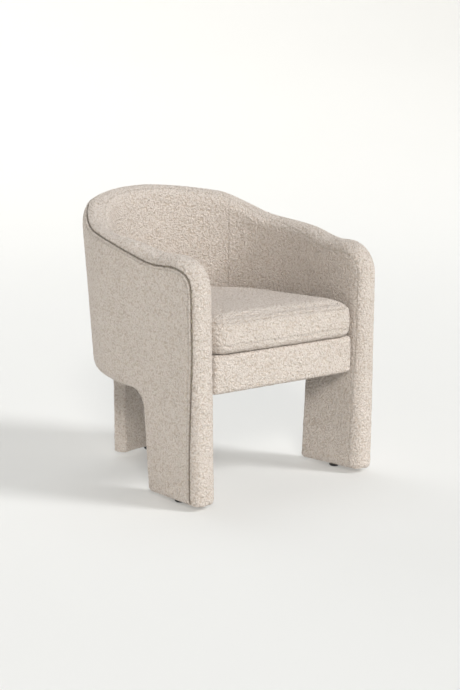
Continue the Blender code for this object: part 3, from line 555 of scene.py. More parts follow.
def skin_rows(rim):
    """Places on one side of the wall, a row for each rim point, from its seam or hem inwards.

    Returns their s, z, distance from mid-thickness, distance from the cloth's edge, and a 1 for
    each place in a row that starts at the long seam.
    """
    corners = [(hand * s, LEG_BASE + LEG_EDGE) for hand in (1, -1)
               for s in (S_END - ROLL, S_END - LEG_RUN + LEG_EDGE)]
    s, z, out, distance, rolled = (np.empty((len(rim), len(NEAR_SEAM) + FURTHER)) for _ in range(5))
    for i, p in enumerate(rim):
        start = seam_start(p)
        begin = SKIN_GAP + (start or 0.0)
        core = (p.s + p.ds, p.z + p.dz)
        room = min(math.dist(core, corner) for corner in corners) * CORNER_SHARE
        length = p.core + arc_length(p) + min(FLAT_MARGIN, room) - begin
        reach = np.array(NEAR_SEAM) * min(1.0, length / NEAR_ROOM)
        further = reach[-1] + (length - reach[-1]) * np.arange(1, FURTHER + 1) / FURTHER
        distance[i] = np.concatenate([reach, further])
        rolled[i] = 0.0 if start is None else 1.0
        s[i], z[i], out[i] = section(p, begin + distance[i])
    return s, z, out, distance, rolled


def side_skin(side, marks):
    """The cloth of one side of the whole wall: 1 is outside, -1 inside."""
    half = rolled_rim() + hem_rim()
    rim = half + mirrored(half)[1:-1]
    s, z, out, distance, rolled = skin_rows(rim)
    count, levels = s.shape
    signed = [m for mark in marks for m in (mark, -mark)]
    columns = np.array(stations(-GRID_S, GRID_S, signed))
    ring = np.stack([s[:, -1], z[:, -1]], 1)
    extra, cap = fill(ring, columns, np.arange(0.0, GRID_Z, STEP), signed)
    cap = [tuple((i + 1) * levels - 1 if i < count else i - count + s.size for i in face) for face in cap]
    points = np.concatenate([
        wall_points(s, z, WALL / 2 - side * out).reshape(-1, 3),
        wall_points(extra[:, 0], extra[:, 1], WALL / 2 - side * WALL / 2),
    ])
    away, roll = (np.concatenate([values.ravel(), np.ones(len(extra))]) for values in (distance, rolled))
    plain = side < 0
    # Painted shade: darker along the seams and hems at the cloth's edge, in the groove beside the
    # outside's seam, and at the cross seams
    crease_shade = bump_at(away, 0.0, CREASE_W) * np.where(roll > 0.5, SOFT_CREASE if plain else 1.0, HEM_SHADE)
    if not plain:
        crease_shade += GROOVE_SHADE * bump_at(away, GROOVE_AT, GROOVE_W) * roll
    across = cross_seam(along_wall(points), signed)
    attributes = {
        "push": seam_push(away, roll, plain) - CROSS_SEAM * across,
        "crease_shade": np.maximum(crease_shade, INSIDE_CROSS_SHADE * across),
    }
    name = "inside_skin" if plain else "outside_skin"
    skin = mesh_object(name, points, band_faces(count, levels, True) + cap, attributes)
    upholster(skin, lambda spot: Vector((spot.x, max(spot.y - PLAN_Y, 0.0), 0.0)) * side)
    return skin


def roll_skin():
    """The band of cloth over the rolled edge, between its two long seams."""
    half = rolled_rim()
    rim = mirrored(half)[:-1] + half
    near = np.array(NEAR_SEAM)
    further = near[-1] + (ROLL_SPAN - near[-1]) * np.arange(1, ROLL_STEPS + 1) / ROLL_STEPS
    shares = np.concatenate([near, further])
    shares /= shares[-1]
    places = np.concatenate([shares[:-1] - 1, (1 - shares)[::-1]])
    s, z, out, distance = (np.empty((len(rim), len(places))) for _ in range(4))
    for i, p in enumerate(rim):
        limit = max((seam_start(p) or 0.0) - SKIN_GAP, 0.0)
        s[i], z[i], out[i] = section(p, np.abs(places) * limit)
        out[i] *= np.sign(places)
        distance[i] = (1 - np.abs(places)) * limit
    points = wall_points(s, z, WALL / 2 + out).reshape(-1, 3)
    away = distance.ravel()
    across = cross_seam(along_wall(points), (ROLL_JOINT, -ROLL_JOINT))
    outer = np.broadcast_to(places < 0, out.shape).ravel()
    puff = ROLL_PUFF * smooth_step(away / ROLL_PUFF_W) * outer
    amount = np.where(outer, TUCK, INSIDE_SHARE * HEM_TUCK) * -bump_at(away, 0.0, TUCK_W)
    amount += puff - CROSS_SEAM * across
    # Painted shade: darker along both long seams, less on the inner one, and at the cross seams
    crease_shade = bump_at(away, 0.0, CREASE_W) * np.where(outer, 1.0, SOFT_CREASE)
    attributes = {"push": amount, "crease_shade": np.maximum(crease_shade, ROLL_CROSS_SHADE * across)}
    skin = mesh_object("roll_skin", points, band_faces(len(rim), len(places), False), attributes)

    def outside(centre):
        run = float(along_wall(np.array([centre]))[0])
        inner = wall_points(run, min(centre.z, top_z(run)) - ROLL_CENTRE, WALL / 2)
        return centre - Vector(inner)

    upholster(skin, outside)
    return skin


def build_wall():
    """The wall's cloth: one sweep outside, three panels inside and three over the rolled edge."""
    outside = side_skin(1, ())
    outside.name = "outside_cloth"
    outside.data.name = "outside_cloth"
    inside = split(side_skin(-1, (INSIDE_SEAM,)), INSIDE_SEAM,
                   ("inside_back_cloth", "inside_arm_cloth_right", "inside_arm_cloth_left"))
    roll = split(roll_skin(), ROLL_JOINT, ("roll_cloth_back", "roll_cloth_right", "roll_cloth_left"))
    nodes = ("cover_outside", "cover_inside_back", "cover_inside_arm_right", "cover_inside_arm_left",
             "cover_roll_back", "cover_roll_right", "cover_roll_left")
    for piece, node in zip([outside, *inside, *roll], nodes):
        finish_cloth(piece, "chair", node)


def assign(piece, body, slot, *nodes):
    """Gives a piece its material, the body it rides on and the CAD nodes it replaces."""
    piece.data.materials.clear()
    piece.data.materials.append(materials[slot])
    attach(piece, body)
    if nodes:
        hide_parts(*nodes)


def finish_cloth(piece, body, *nodes):
    """Makes a piece the chair's padded cover cloth."""
    assign(piece, body, "boucle", *nodes)


# ---------------------------------------------------------------- rear leg and front rail

RAIL_EDGE, RAIL_PUFF = 0.0105, (0.0, 0.003, 0.0006)
EDGE_ROWS = (1.0, 0.6, 0.25)


def rounded_rectangle(half_u, half_v, radius):
    """Closed outline with round corners, in even steps."""
    points = []
    corners = ((1, 1), (-1, 1), (-1, -1), (1, -1))
    for k in range(4):
        centre, after = (np.array(corners[i % 4]) * (half_u - radius, half_v - radius) for i in (k, k + 1))
        angles = [math.pi / 2 * k + a for a in quarter(radius)]
        points += [centre + radius * np.array((math.cos(a), math.sin(a))) for a in angles]
        here, ahead = points[-1], after + points[-1] - centre
        count = max(round(np.linalg.norm(ahead - here) / STEP), 1)
        points += [here + (ahead - here) * i / count for i in range(1, count)]
    return np.array(points)


def shell_underside(depth):
    """Height of the shell's rounded bottom edge at each depth."""
    core = WALL / 2 - ROLL
    rise = np.clip((np.abs(depth - WALL / 2) - core) / (WALL / 2 - core), 0, 1)
    return SHELL_Z + SHELL_EDGE * (1 - np.sqrt(1 - rise ** 2))


def tube_faces(rows, count):
    """Faces between closed rows of points."""
    faces = []
    for k in range(rows - 1):
        a, b = k * count, (k + 1) * count
        faces += [(a + i, a + (i + 1) % count, b + (i + 1) % count, b + i) for i in range(count)]
    return faces


def build_rear_leg():
    """The rear leg's cloth: a curved upright whose top runs up against the shell."""
    thin = (REAR_DEPTHS[1] - REAR_DEPTHS[0]) / 2
    middle = sum(REAR_DEPTHS) / 2
    outline = rounded_rectangle(REAR_HALF, thin, REAR_EDGE)
    spine = np.clip(outline[:, 0], thin - REAR_HALF, REAR_HALF - thin)
    rows = [(LEG_BASE, 0.0), (LEG_BASE, 0.4)]
    for a in quarter(REAR_EDGE):
        rows.append((LEG_BASE + REAR_EDGE * (1 - math.cos(a)), 1 - REAR_EDGE * (1 - math.sin(a)) / thin))
    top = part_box("cover_rear_leg")[1].z
    rows += [(z, 1.0) for z in stations(LEG_BASE + REAR_EDGE, top)[1:]]
    points = []
    for z, share in rows:
        s = spine + (outline[:, 0] - spine) * share
        depth = middle - outline[:, 1] * share
        height = np.minimum(z, shell_underside(depth) + REAR_TUCK)
        row = wall_points(s, np.maximum(height, SHELL_Z), depth)
        row[:, 2] = height
        points.append(row)
    leg = mesh_object("rear_leg_cloth", np.concatenate(points), tube_faces(len(rows), len(outline)))
    axis_y = PLAN_Y + PLAN_R - middle
    upholster(leg, lambda spot: Vector((spot.x * 0.2, spot.y - axis_y, 0.0)))
    finish_cloth(leg, "chair", "cover_rear_leg")


def soft_line(start, end, radius):
    """Values along a soft-edged box: over one edge, along the flat from start to end, over the other."""
    count = max(round((end - start) / STEP), 2)
    before = [start - radius * share for share in EDGE_ROWS]
    after = [end + radius * share for share in reversed(EDGE_ROWS)]
    return before + list(np.linspace(start, end, count + 1)) + after


def rounded_box(name, low, high, radius, puff):
    """A soft-edged box cage: each face a grid, its edges rounded and its faces slightly full."""
    low, high = np.array(low), np.array(high)
    inner_low, inner_high = low + radius, high - radius
    points, faces = [], []
    lines = [soft_line(start, end, radius) for start, end in zip(inner_low, inner_high)]
    others = ((1, 2), (0, 2), (0, 1))
    for axis, (u, v) in enumerate(others):
        for value in (low[axis], high[axis]):
            base = len(points)
            for a in lines[u]:
                for b in lines[v]:
                    spot = np.empty(3)
                    spot[axis], spot[u], spot[v] = value, a, b
                    points.append(spot)
            rows = len(lines[v])
            for i in range(len(lines[u]) - 1):
                for j in range(rows - 1):
                    a = base + i * rows + j
                    faces.append((a, a + 1, a + rows + 1, a + rows))
    points = np.array(points)
    nearest = np.clip(points, inner_low, inner_high)
    away = points - nearest
    points = nearest + radius * away / np.linalg.norm(away, axis=1)[:, None]
    middle, half = (low + high) / 2, (high - low) / 2
    share = 1 - np.clip(np.abs((points - middle) / half), 0, 1) ** 2
    for axis, (u, v) in enumerate(others):
        swell = puff[axis] * share[:, u] ** 0.5 * share[:, v] ** 0.5
        points[:, axis] += np.sign(points[:, axis] - middle[axis]) * swell * (1 - share[:, axis])
    return mesh_object(name, points, faces)


def build_front_rail():
    """The front rail's cloth, drawn over its foam."""
    low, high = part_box("cover_front_rail")
    rail = rounded_box("front_rail_cloth", low, high, RAIL_EDGE, RAIL_PUFF)
    centre = (low + high) / 2
    upholster(rail, lambda spot: spot - centre)
    finish_cloth(rail, "chair", "cover_front_rail", "foam_front_rail")


# ---------------------------------------------------------------- seat cushion and its zip

CUSHION_CORNER, TIGHTEST_CORNER, CUSHION_SIDE = 0.045, 0.012, 0.020
SEAM_HIGH, SEAM_LOW = 0.430, 0.380
BORDER_Z = (0.4140, 0.4085, 0.4046, 0.4030, 0.3980, 0.3930, 0.3914, 0.3875, 0.3838, 0.3818, SEAM_LOW)
TOP_TURNS, FOOT_TURNS = (6, 18, 30, 42, 51, 56, 60, 64, 69, 79, 90), (82, 73, 62, 50, 38, 26, 14, 4)
CROWN_DROP, PANEL_INSETS = 0.016, (0.034, 0.026)
SEAM_DIP, SEAM_DIP_W = 0.0018, 0.0015
CUSHION_BULGE, CUSHION_RISE, CUSHION_SWELL = 0.0012, 0.0120, 0.010
CROWN_SPAN, CROWN_POWER = 0.16, 0.7
CUSHION_PLAY, FRONT_PLAY, CUSHION_GIVE = 0.0015, 0.004, 0.0010
CORE_INSET = 0.0062
BORDER_SHADE, PLACKET_SHADE = 0.28, 0.5
CLOTH = {
    "quality": 5,
    "mass": 0.4,
    "tension_stiffness": 15,
    "compression_stiffness": 15,
    "shear_stiffness": 5,
    "bending_stiffness": 0.5,
    "use_pressure": True,
    "uniform_pressure_force": 4.0,
}
CLOTH_FRAMES = 20
ZIP_Z, ZIP_TURN = 0.398, math.radians(48)
PLACKET_HALF, PLACKET_DEPTH, PLACKET_EDGE, PLACKET_END = 0.0066, 0.0034, 0.0016, 0.03
TOOTH_PITCH, TOOTH_R, TOOTH_SHARE = 0.0026, 0.2262, 0.33
# Reach from the zip's middle, share of full width and half thickness, from a tooth's tip to its root
TOOTH_ROWS = ((-0.0008, 0.6, 0.0006), (0.0004, 1.0, 0.0010), (0.0026, 0.8, 0.0007))
SLIDER_NEAR, SLIDER_FAR = 0.2273, 0.2299
BASE_THICK, BRIDGE_FROM = 0.0016, 0.0012
SLIDER_TURN = ZIP_TURN - 0.04
SLIDER_HALF_WIDE, SLIDER_HALF_TALL = 0.0048, 0.0050
SLIDER_SHAPE = ((1, 0.55), (0.8, 1), (-0.8, 1), (-1, 0.55), (-0.75, -1), (0.75, -1))
BRIDGE_HALF_WIDE, BRIDGE_HALF_TALL = 0.0012, 0.0034
PULL_HALF, PULL_HALF_THICK, PULL_CLEAR, PULL_SHOULDER = 0.0024, 0.0005, 0.0009, 0.002


def cushion_plan(low, high, inset):
    """Closed plan of the cushion, drawn in by an inset, always with the same number of points."""
    half, front, back = high.x - inset, low.y + inset, high.y - PLAN_Y - inset
    r = max(CUSHION_CORNER - inset, TIGHTEST_CORNER)
    side = PLAN_Y - front - r
    across = round(2 * (high.x - CUSHION_CORNER) / STEP)
    along = round((PLAN_Y - low.y - CUSHION_CORNER) / STEP)
    around = round(math.pi * high.x / STEP)
    corner = quarter(CUSHION_CORNER)
    points = [((r - half) * (1 - 2 * i / across), front) for i in range(across)]
    points += [(half - r + r * math.sin(a), front + r - r * math.cos(a)) for a in corner]
    points += [(half, front + r + side * i / along) for i in range(1, along)]
    for i in range(around + 1):
        a = math.pi / 2 - math.pi * i / around
        points.append((half * math.sin(a), PLAN_Y + back * math.cos(a)))
    points += [(-half, PLAN_Y - side * i / along) for i in range(1, along)]
    points += [(r - half - r * math.sin(a), front + r - r * math.cos(a)) for a in corner[:0:-1]]
    return np.array(points)


def rounded(turns):
    """(inset, drop) of each row over a rounded edge, at these angles from level."""
    angles = [math.radians(a) for a in turns]
    return [(CUSHION_SIDE * (1 - math.sin(a)), CUSHION_SIDE * (1 - math.cos(a))) for a in angles]


def cushion_levels(low, high):
    """(inset, z) of each row round the cushion's edge, from the top panel to the bottom one."""
    edge = high - CROWN_DROP
    levels = [(PANEL_INSETS[0], edge + 0.0030), (PANEL_INSETS[1], edge + 0.0015)]
    levels += [(inset, edge - drop) for inset, drop in rounded(TOP_TURNS)]
    top, foot = edge - CUSHION_SIDE, low + CUSHION_SIDE
    levels += [(-CUSHION_BULGE * math.sin(math.pi * (z - foot) / (top - foot)), z) for z in BORDER_Z]
    levels += [(inset, low + rise) for inset, rise in rounded(FOOT_TURNS)]
    return levels + [(inset, low) for inset in reversed(PANEL_INSETS)]


def from_ring(spots, ring):
    """Distance of each spot from the ring's points."""
    parts = np.array_split(spots, max(len(spots) // 1500, 1))
    return np.concatenate([np.linalg.norm(p[:, None] - ring, axis=2).min(1) for p in parts])


def pillow(name, plans, heights, rise):
    """A closed form from its plan outlines, with a crowned top and a flat bottom."""
    count = len(plans[0])
    points = [np.column_stack([plan, np.full(count, z)]) for plan, z in zip(plans, heights)]
    faces = tube_faces(len(plans), count)
    base = len(plans) * count
    for row, lift in ((0, rise), (len(plans) - 1, 0.0)):
        ring = plans[row]
        rows = np.arange(ring[:, 1].min(), ring[:, 1].max(), STEP)
        columns = np.arange(ring[:, 0].min(), ring[:, 0].max(), STEP)
        extra, cap = fill(ring, columns, rows)
        swell = smooth_step(from_ring(extra, ring) / CROWN_SPAN) ** CROWN_POWER
        points.append(np.column_stack([extra, heights[row] + lift * swell]))
        faces += [tuple(row * count + i if i < count else base + i - count for i in f) for f in cap]
        base += len(extra)
    return mesh_object(name, np.concatenate(points), faces)


def build_cushion():
    """Crowned loose cushion: top and bottom panels, a sewn border between two seams, a zip behind."""
    low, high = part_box("cushion_cover")
    levels = cushion_levels(low.z, high.z)
    plans = [cushion_plan(low, high, inset) for inset, _ in levels]
    rise = 0.5 * CUSHION_RISE
    cushion = pillow("cushion_cloth", plans, [z for _, z in levels], rise)
    centre = Vector((0, PLAN_Y, (low.z + high.z) / 2))
    face_outwards(cushion, lambda spot: spot - centre)
    cut_heights = coordinates(cushion)[:, 2]
    inflate(cushion, low, high)
    build_core(cushion)
    sew_cushion(cushion, cut_heights)
    subdivide(cushion)
    roughen(cushion)
    finish_cloth(cushion, "seat_cushion", "cushion_cover")


def build_core(cushion):
    """The cushion's foam: the cover's own shape, set in from it all round."""
    points = coordinates(cushion) - CORE_INSET * normals(cushion)
    core = mesh_object("cushion_core", points, [tuple(face.vertices) for face in cushion.data.polygons])
    assign(core, "seat_cushion", "foam", "cushion_foam")


def inflate(obj, low, high):
    """Lets the cloth find its own fullness under a little pressure, then keeps it in the seat.

    The foam inside holds it up, so it hardly sinks below where it starts.
    """
    start, facing = coordinates(obj), normals(obj)
    settings = obj.modifiers.new("cloth", "CLOTH").settings
    for name, value in CLOTH.items():
        setattr(settings, name, value)
    settings.effector_weights.gravity = 0.0
    for number in range(1, CLOTH_FRAMES + 1):
        bpy.context.scene.frame_set(number)
    apply_modifiers(obj)
    bpy.context.scene.frame_set(1)
    moved = coordinates(obj) - start
    sunk = np.minimum(np.sum(moved * facing, axis=1) + CUSHION_GIVE, 0.0)
    moved -= sunk[:, None] * facing
    size = np.linalg.norm(moved, axis=1)
    share = CUSHION_SWELL * np.tanh(size / CUSHION_SWELL) / np.maximum(size, 1e-9)
    place(obj, in_seat(start + moved * share[:, None], low, high))


def in_seat(points, low, high):
    """Keeps points between the arms and above the deck."""
    x, y = points[:, 0], points[:, 1] - PLAN_Y
    room = high.x + CUSHION_PLAY
    radius = np.hypot(x, np.maximum(y, 0))
    shrink = np.minimum(1.0, room / np.maximum(radius, 1e-9))
    fitted = np.column_stack([x * shrink, np.where(y > 0, y * shrink, y) + PLAN_Y, points[:, 2]])
    fitted[:, 1] = np.maximum(fitted[:, 1], low.y - FRONT_PLAY)
    fitted[:, 2] = np.maximum(fitted[:, 2], low.z)
    return fitted


def sew_cushion(obj, cut_heights):
    """Draws in the border's two seams, and sinks the placket the zip lies in; both get painted shade.

    The seams follow the rows of the cloth as it was cut, before it was filled.
    """
    obj.data.update()
    points = coordinates(obj)
    high_seam, low_seam = (bump_at(cut_heights, z, SEAM_DIP_W) for z in (SEAM_HIGH, SEAM_LOW))
    seams = np.maximum(high_seam, low_seam)
    turn = np.abs(np.arctan2(points[:, 0], points[:, 1] - PLAN_Y))
    along = 1 - smooth_step((turn - ZIP_TURN) / PLACKET_END)
    beyond = np.abs(points[:, 2] - ZIP_Z) - PLACKET_HALF + 0.0015
    placket = along * (1 - smooth_step(beyond / PLACKET_EDGE))
    # Painted shade: darker along both border seams and in the sunken placket
    set_attribute(obj, "crease_shade", np.maximum(BORDER_SHADE * seams, PLACKET_SHADE * placket))
    push(obj, -SEAM_DIP * seams - PLACKET_DEPTH * placket)


def around_back(radius, turn, z):
    return (radius * math.sin(turn), PLAN_Y + radius * math.cos(turn), z)


def build_teeth():
    """The zip's row of small meshed teeth, along the tape."""
    count = round(2 * ZIP_TURN * TOOTH_R / TOOTH_PITCH)
    half = TOOTH_PITCH * TOOTH_SHARE / TOOTH_R
    points, faces = [], []
    for i in range(count):
        turn = -ZIP_TURN + 2 * ZIP_TURN * (i + 0.5) / count
        side = 1 if i % 2 else -1
        base = len(points)
        for reach, wide, thick in TOOTH_ROWS:
            z = ZIP_Z + side * reach
            for u, v in ((-1, -1), (1, -1), (1, 1), (-1, 1)):
                points.append(around_back(TOOTH_R + v * thick, turn + u * wide * half, z))
        faces += [tuple(base + k for k in (0, 1, 2, 3)), tuple(base + k for k in (8, 9, 10, 11))]
        faces += [tuple(base + k for k in face) for face in tube_faces(3, 4)]
    teeth = mesh_object("zip_teeth", np.array(points), faces)
    face_outwards(teeth, lambda spot: Vector((spot.x, spot.y - PLAN_Y, 0.0)))
    assign(teeth, "seat_cushion", "steel")


def plate(name, outline, near, far, middle_turn, edge):
    """A bevelled plate that stands on the cushion's back. Its outline is (sideways, z)."""
    points, faces = [], []
    count = len(outline)
    for radius in (near, far):
        points += [around_back(radius, middle_turn + u / radius, z) for u, z in outline]
    faces += [tuple(range(count)), tuple(range(count, 2 * count))] + tube_faces(2, count)
    obj = mesh_object(name, np.array(points), faces)
    out = Vector(around_back(1.0, middle_turn, 0.0)) - Vector((0, PLAN_Y, 0))
    centre = sum((Vector(p) for p in points), Vector()) / len(points)
    face_outwards(obj, lambda spot: spot - centre)
    soft = obj.modifiers.new("edge", "BEVEL")
    soft.width = edge
    soft.segments = 3
    soft.limit_method = "ANGLE"
    apply_modifiers(obj)
    obj.data.shade_smooth()
    return obj


def join(name, pieces):
    """One object from several."""
    mesh = bmesh.new()
    for piece in pieces:
        mesh.from_mesh(piece.data)
        bpy.data.objects.remove(piece)
    data = bpy.data.meshes.new(name)
    mesh.to_mesh(data)
    mesh.free()
    return add_object(name, data)


def zip_outline(shape, half_wide, half_tall):
    """An outline on the zip, as (sideways, z), from corners given as shares of its half size."""
    return [(half_wide * u, ZIP_Z + half_tall * v) for u, v in shape]


def build_slider():
    """The zip's slider with its bridge, and the pull tab with a rounded end."""
    body = zip_outline(SLIDER_SHAPE, SLIDER_HALF_WIDE, SLIDER_HALF_TALL)
    bridge = zip_outline(((1, 1), (-1, 1), (-1, -1), (1, -1)), BRIDGE_HALF_WIDE, BRIDGE_HALF_TALL)
    slider = join("zip_slider_body", [
        plate("slider_base", body, SLIDER_NEAR, SLIDER_NEAR + BASE_THICK, SLIDER_TURN, 0.0004),
        plate("slider_bridge", bridge, SLIDER_NEAR + BRIDGE_FROM, SLIDER_FAR, SLIDER_TURN, 0.0005),
    ])
    assign(slider, "zip_slider", "steel", "zip_slider")
    low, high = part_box("zip_pull")
    radius = SLIDER_FAR + PULL_CLEAR
    top, foot, half = high.z, low.z, PULL_HALF
    outline = [(half * 0.7, top), (-half * 0.7, top), (-half, top - PULL_SHOULDER)]
    outline += [(-half * math.cos(a), foot + half - half * math.sin(a))
                for a in np.linspace(0, math.pi, 9)]
    outline += [(half, top - PULL_SHOULDER)]
    near, far = radius - PULL_HALF_THICK, radius + PULL_HALF_THICK
    pull = plate("zip_pull_tab", outline, near, far, SLIDER_TURN, 0.0003)
    assign(pull, "zip_pull", "steel", "zip_pull")


# ---------------------------------------------------------------- the deck under the cushion

DECK_EDGE, DECK_RISE, DECK_HEM = 0.0035, 0.0004, 0.012
SPINE_FRONT = 0.06
QUILT_DEPTH, QUILT_SPACING, QUILT_W = 0.0009, 0.085, 0.0028
DUST_SAG, DUST_SAG_SPAN, DUST_HEM, DUST_PUCKER, PUCKER_SIZE = 0.0035, 0.15, 0.012, 0.0005, 0.03


def d_plan(half, front):
    """Closed plan with a straight front and sides and a half-round back."""
    across = round(2 * half / STEP)
    along = round((PLAN_Y - front) / STEP)
    around = round(math.pi * half / STEP)
    points = [(-half + 2 * half * i / across, front) for i in range(across)]
    points += [(half, front + (PLAN_Y - front) * i / along) for i in range(along)]
    for i in range(around):
        a = math.pi / 2 - math.pi * i / around
        points.append((half * math.sin(a), PLAN_Y + half * math.cos(a)))
    points += [(-half, PLAN_Y - (PLAN_Y - front) * i / along) for i in range(along)]
    return np.array(points)


def same_plan(plan, inset):
    """The plan drawn in towards its middle line, point for point."""
    spine = np.column_stack([np.zeros(len(plan)), np.clip(plan[:, 1], None, PLAN_Y)])
    spine[:, 1] = np.maximum(spine[:, 1], plan[:, 1].min() + SPINE_FRONT)
    away = plan - spine
    far = np.maximum(np.linalg.norm(away, axis=1), 1e-9)
    return plan - away / far[:, None] * inset


def build_deck():
    """The padded deck over the straps: quilted cloth with rolled edges."""
    low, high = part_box("deck_pad")
    plan = d_plan(high.x, low.y)
    thick = (high.z - low.z) / 2
    turns = [math.radians(a) for a in (0, 20, 45, 70, 90, 110, 135, 160, 180)]
    plans = [same_plan(plan, DECK_EDGE * (1 - math.sin(a))) for a in turns]
    heights = [low.z + thick + (thick - DECK_RISE) * math.cos(a) for a in turns]
    plans = [same_plan(plan, DECK_HEM)] + plans + [same_plan(plan, DECK_HEM)]
    heights = [heights[0]] + heights + [heights[-1]]
    deck = pillow("deck_cloth", plans, heights, DECK_RISE)
    centre = (low + high) / 2
    face_outwards(deck, lambda spot: Vector((0, 0, spot.z - centre.z)))
    points = coordinates(deck)
    quilt = np.maximum(channel(points[:, 0] + points[:, 1]), channel(points[:, 0] - points[:, 1]))
    facing = normals(deck)[:, 2] > 0.8
    push(deck, -QUILT_DEPTH * quilt * facing)
    subdivide(deck)
    assign(deck, "chair", "deck_cloth", "deck_pad")


def channel(value):
    """1 on the quilt's stitched lines."""
    away = np.abs((value / QUILT_SPACING + 0.5) % 1.0 - 0.5) * QUILT_SPACING
    return bump_at(away, 0.0, QUILT_W)


def build_dust_cloth():
    """The thin black cloth stapled under the seat, stretched with a slight sag."""
    low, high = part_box("dust_cloth")
    plan = d_plan(high.x, low.y)
    edge = same_plan(plan, DUST_HEM)
    rows = np.arange(edge[:, 1].min(), edge[:, 1].max(), STEP)
    columns = np.arange(edge[:, 0].min(), edge[:, 0].max(), STEP)
    extra, cap = fill(edge, columns, rows)
    count = len(plan)
    faces = tube_faces(2, count) + [tuple(i + count for i in face) for face in cap]
    flat = np.concatenate([plan, edge, extra])
    inward = from_ring(flat, plan)
    ripple = value_noise(np.column_stack([flat, np.zeros(len(flat))]), PUCKER_SIZE, 9)
    pucker = DUST_PUCKER * np.sin(inward * 25) * ripple
    z = high.z - SKIN_GAP - DUST_SAG * smooth_step(inward / DUST_SAG_SPAN) - np.abs(pucker)
    cloth = mesh_object("dust_sheet", np.column_stack([flat, z]), faces)
    face_outwards(cloth, lambda spot: Vector((0, 0, -1)))
    subdivide(cloth)
    assign(cloth, "chair", "dust_cloth", "dust_cloth")


# ---------------------------------------------------------------- materials

CREAM_LIGHT = (0.892, 0.812, 0.743)
CREAM_MID = (0.853, 0.765, 0.693)
# Painted shade: the darker cream put in the gaps between loops
CREAM_SHADED = (0.695, 0.591, 0.499)
# Painted shade: the dark brown mixed into the cloth along its seams, creases and zip placket
SEAM_SHADE_COLOUR = (0.150, 0.105, 0.070)


def feed(tree, node, inputs):
    """Sets a node's inputs to values, or links them to other nodes' sockets."""
    for key, value in inputs.items():
        if isinstance(value, bpy.types.NodeSocket):
            tree.links.new(value, node.inputs[key])
        else:
            node.inputs[key].default_value = value


def add(tree, kind, inputs, **settings):
    """A new node of this kind."""
    node = tree.nodes.new("ShaderNode" + kind)
    for key, value in settings.items():
        setattr(node, key, value)
    feed(tree, node, inputs)
    return node


def node_material(name, roughness, metallic=0.0, sheen=0.0):
    """A new material, with its node tree and its shader."""
    made = bpy.data.materials.new(name)
    made.use_nodes = True
    tree = made.node_tree
    shader = tree.nodes["Principled BSDF"]
    feed(tree, shader, {"Roughness": roughness, "Metallic": metallic, "Sheen Weight": sheen})
    return made, tree, shader


def ramp(tree, source, stops):
    """The colour a source gives between (position, colour) stops."""
    node = add(tree, "ValToRGB", {"Fac": source})
    while len(node.color_ramp.elements) < len(stops):
        node.color_ramp.elements.new(0.5)
    for element, (position, colour) in zip(node.color_ramp.elements, stops):
        element.position = position
        element.color = (*colour, 1.0)
    return node.outputs["Color"]


def calculate(tree, operation, *values):
    """The result of a Math node on sockets or numbers."""
    return add(tree, "Math", dict(enumerate(values)), operation=operation).outputs[0]


def object_place(tree):
    return add(tree, "TexCoord", {}).outputs["Object"]


def tinted(tree, place_at, colour, scale, darkest):
    """The colour made a little darker in slow drifts."""
    drift = add(tree, "TexNoise", {"Vector": place_at, "Scale": scale, "Detail": 3.0})
    tone = ramp(tree, drift.outputs["Fac"], ((0.3, darkest), (0.7, (1.0, 1.0, 1.0))))
    inputs = {"Factor": 1.0, "A": colour, "B": tone}
    return add(tree, "Mix", inputs, data_type="RGBA", blend_type="MULTIPLY").outputs["Result"]


def bumped(tree, height, strength, distance):
    """The normal of a surface raised by this height."""
    inputs = {"Strength": strength, "Distance": distance, "Height": height}
    return add(tree, "Bump", inputs).outputs["Normal"]


def boucle():
    """Looped pile: curled loops a few millimetres long, with painted shade: lighter on top, browner in the
    gaps between them.
    """
    made, tree, shader = node_material("boucle", 0.95, sheen=0.20)
    place_at = object_place(tree)
    warp = add(tree, "TexNoise", {"Vector": place_at, "Scale": 150.0, "Detail": 2.0, "Roughness": 0.6})
    bend = {0: warp.outputs["Color"], 1: (0.005, 0.005, 0.005), 2: place_at}
    bent = add(tree, "VectorMath", bend, operation="MULTIPLY_ADD").outputs[0]
    cells = {"Vector": bent, "Scale": 215.0, "Smoothness": 0.25}
    away = add(tree, "TexVoronoi", cells, feature="SMOOTH_F1").outputs["Distance"]
    curl = add(tree, "TexNoise", {"Vector": bent, "Scale": 330.0, "Detail": 1.5, "Distortion": 0.8})
    ridge = calculate(tree, "SUBTRACT", curl.outputs["Fac"], 0.5)
    ridge = calculate(tree, "ABSOLUTE", ridge)
    loop = calculate(tree, "MULTIPLY_ADD", away, -0.9, 0.88)
    height = calculate(tree, "MULTIPLY_ADD", ridge, -1.4, loop)
    pile = add(tree, "Attribute", {}, attribute_name="pile")
    height = calculate(tree, "MULTIPLY_ADD", pile.outputs["Fac"], 0.3, height)
    # Painted shade: the lower the pile, the darker the cream, as in the gaps between loops
    cream = ramp(tree, height, ((0.05, CREAM_SHADED), (0.32, CREAM_MID), (0.65, CREAM_LIGHT)))
    toned = tinted(tree, place_at, cream, 5.0, (0.96, 0.955, 0.95))
    # Painted shade: darker where the point attribute marks seams, creases and the placket
    crease_shade = add(tree, "Attribute", {}, attribute_name="crease_shade")
    shade = calculate(tree, "MULTIPLY", crease_shade.outputs["Fac"], 0.85)
    seam_shaded = add(tree, "Mix", {"Factor": shade, "A": toned, "B": (*SEAM_SHADE_COLOUR, 1.0)}, data_type="RGBA")
    feed(tree, shader, {
        "Base Color": seam_shaded.outputs["Result"],
        "Normal": bumped(tree, height, 1.0, 0.0060),
        "Sheen Roughness": 0.5,
        "Sheen Tint": (1.0, 0.97, 0.93, 1.0),
        "Specular IOR Level": 0.15,
    })
    return made


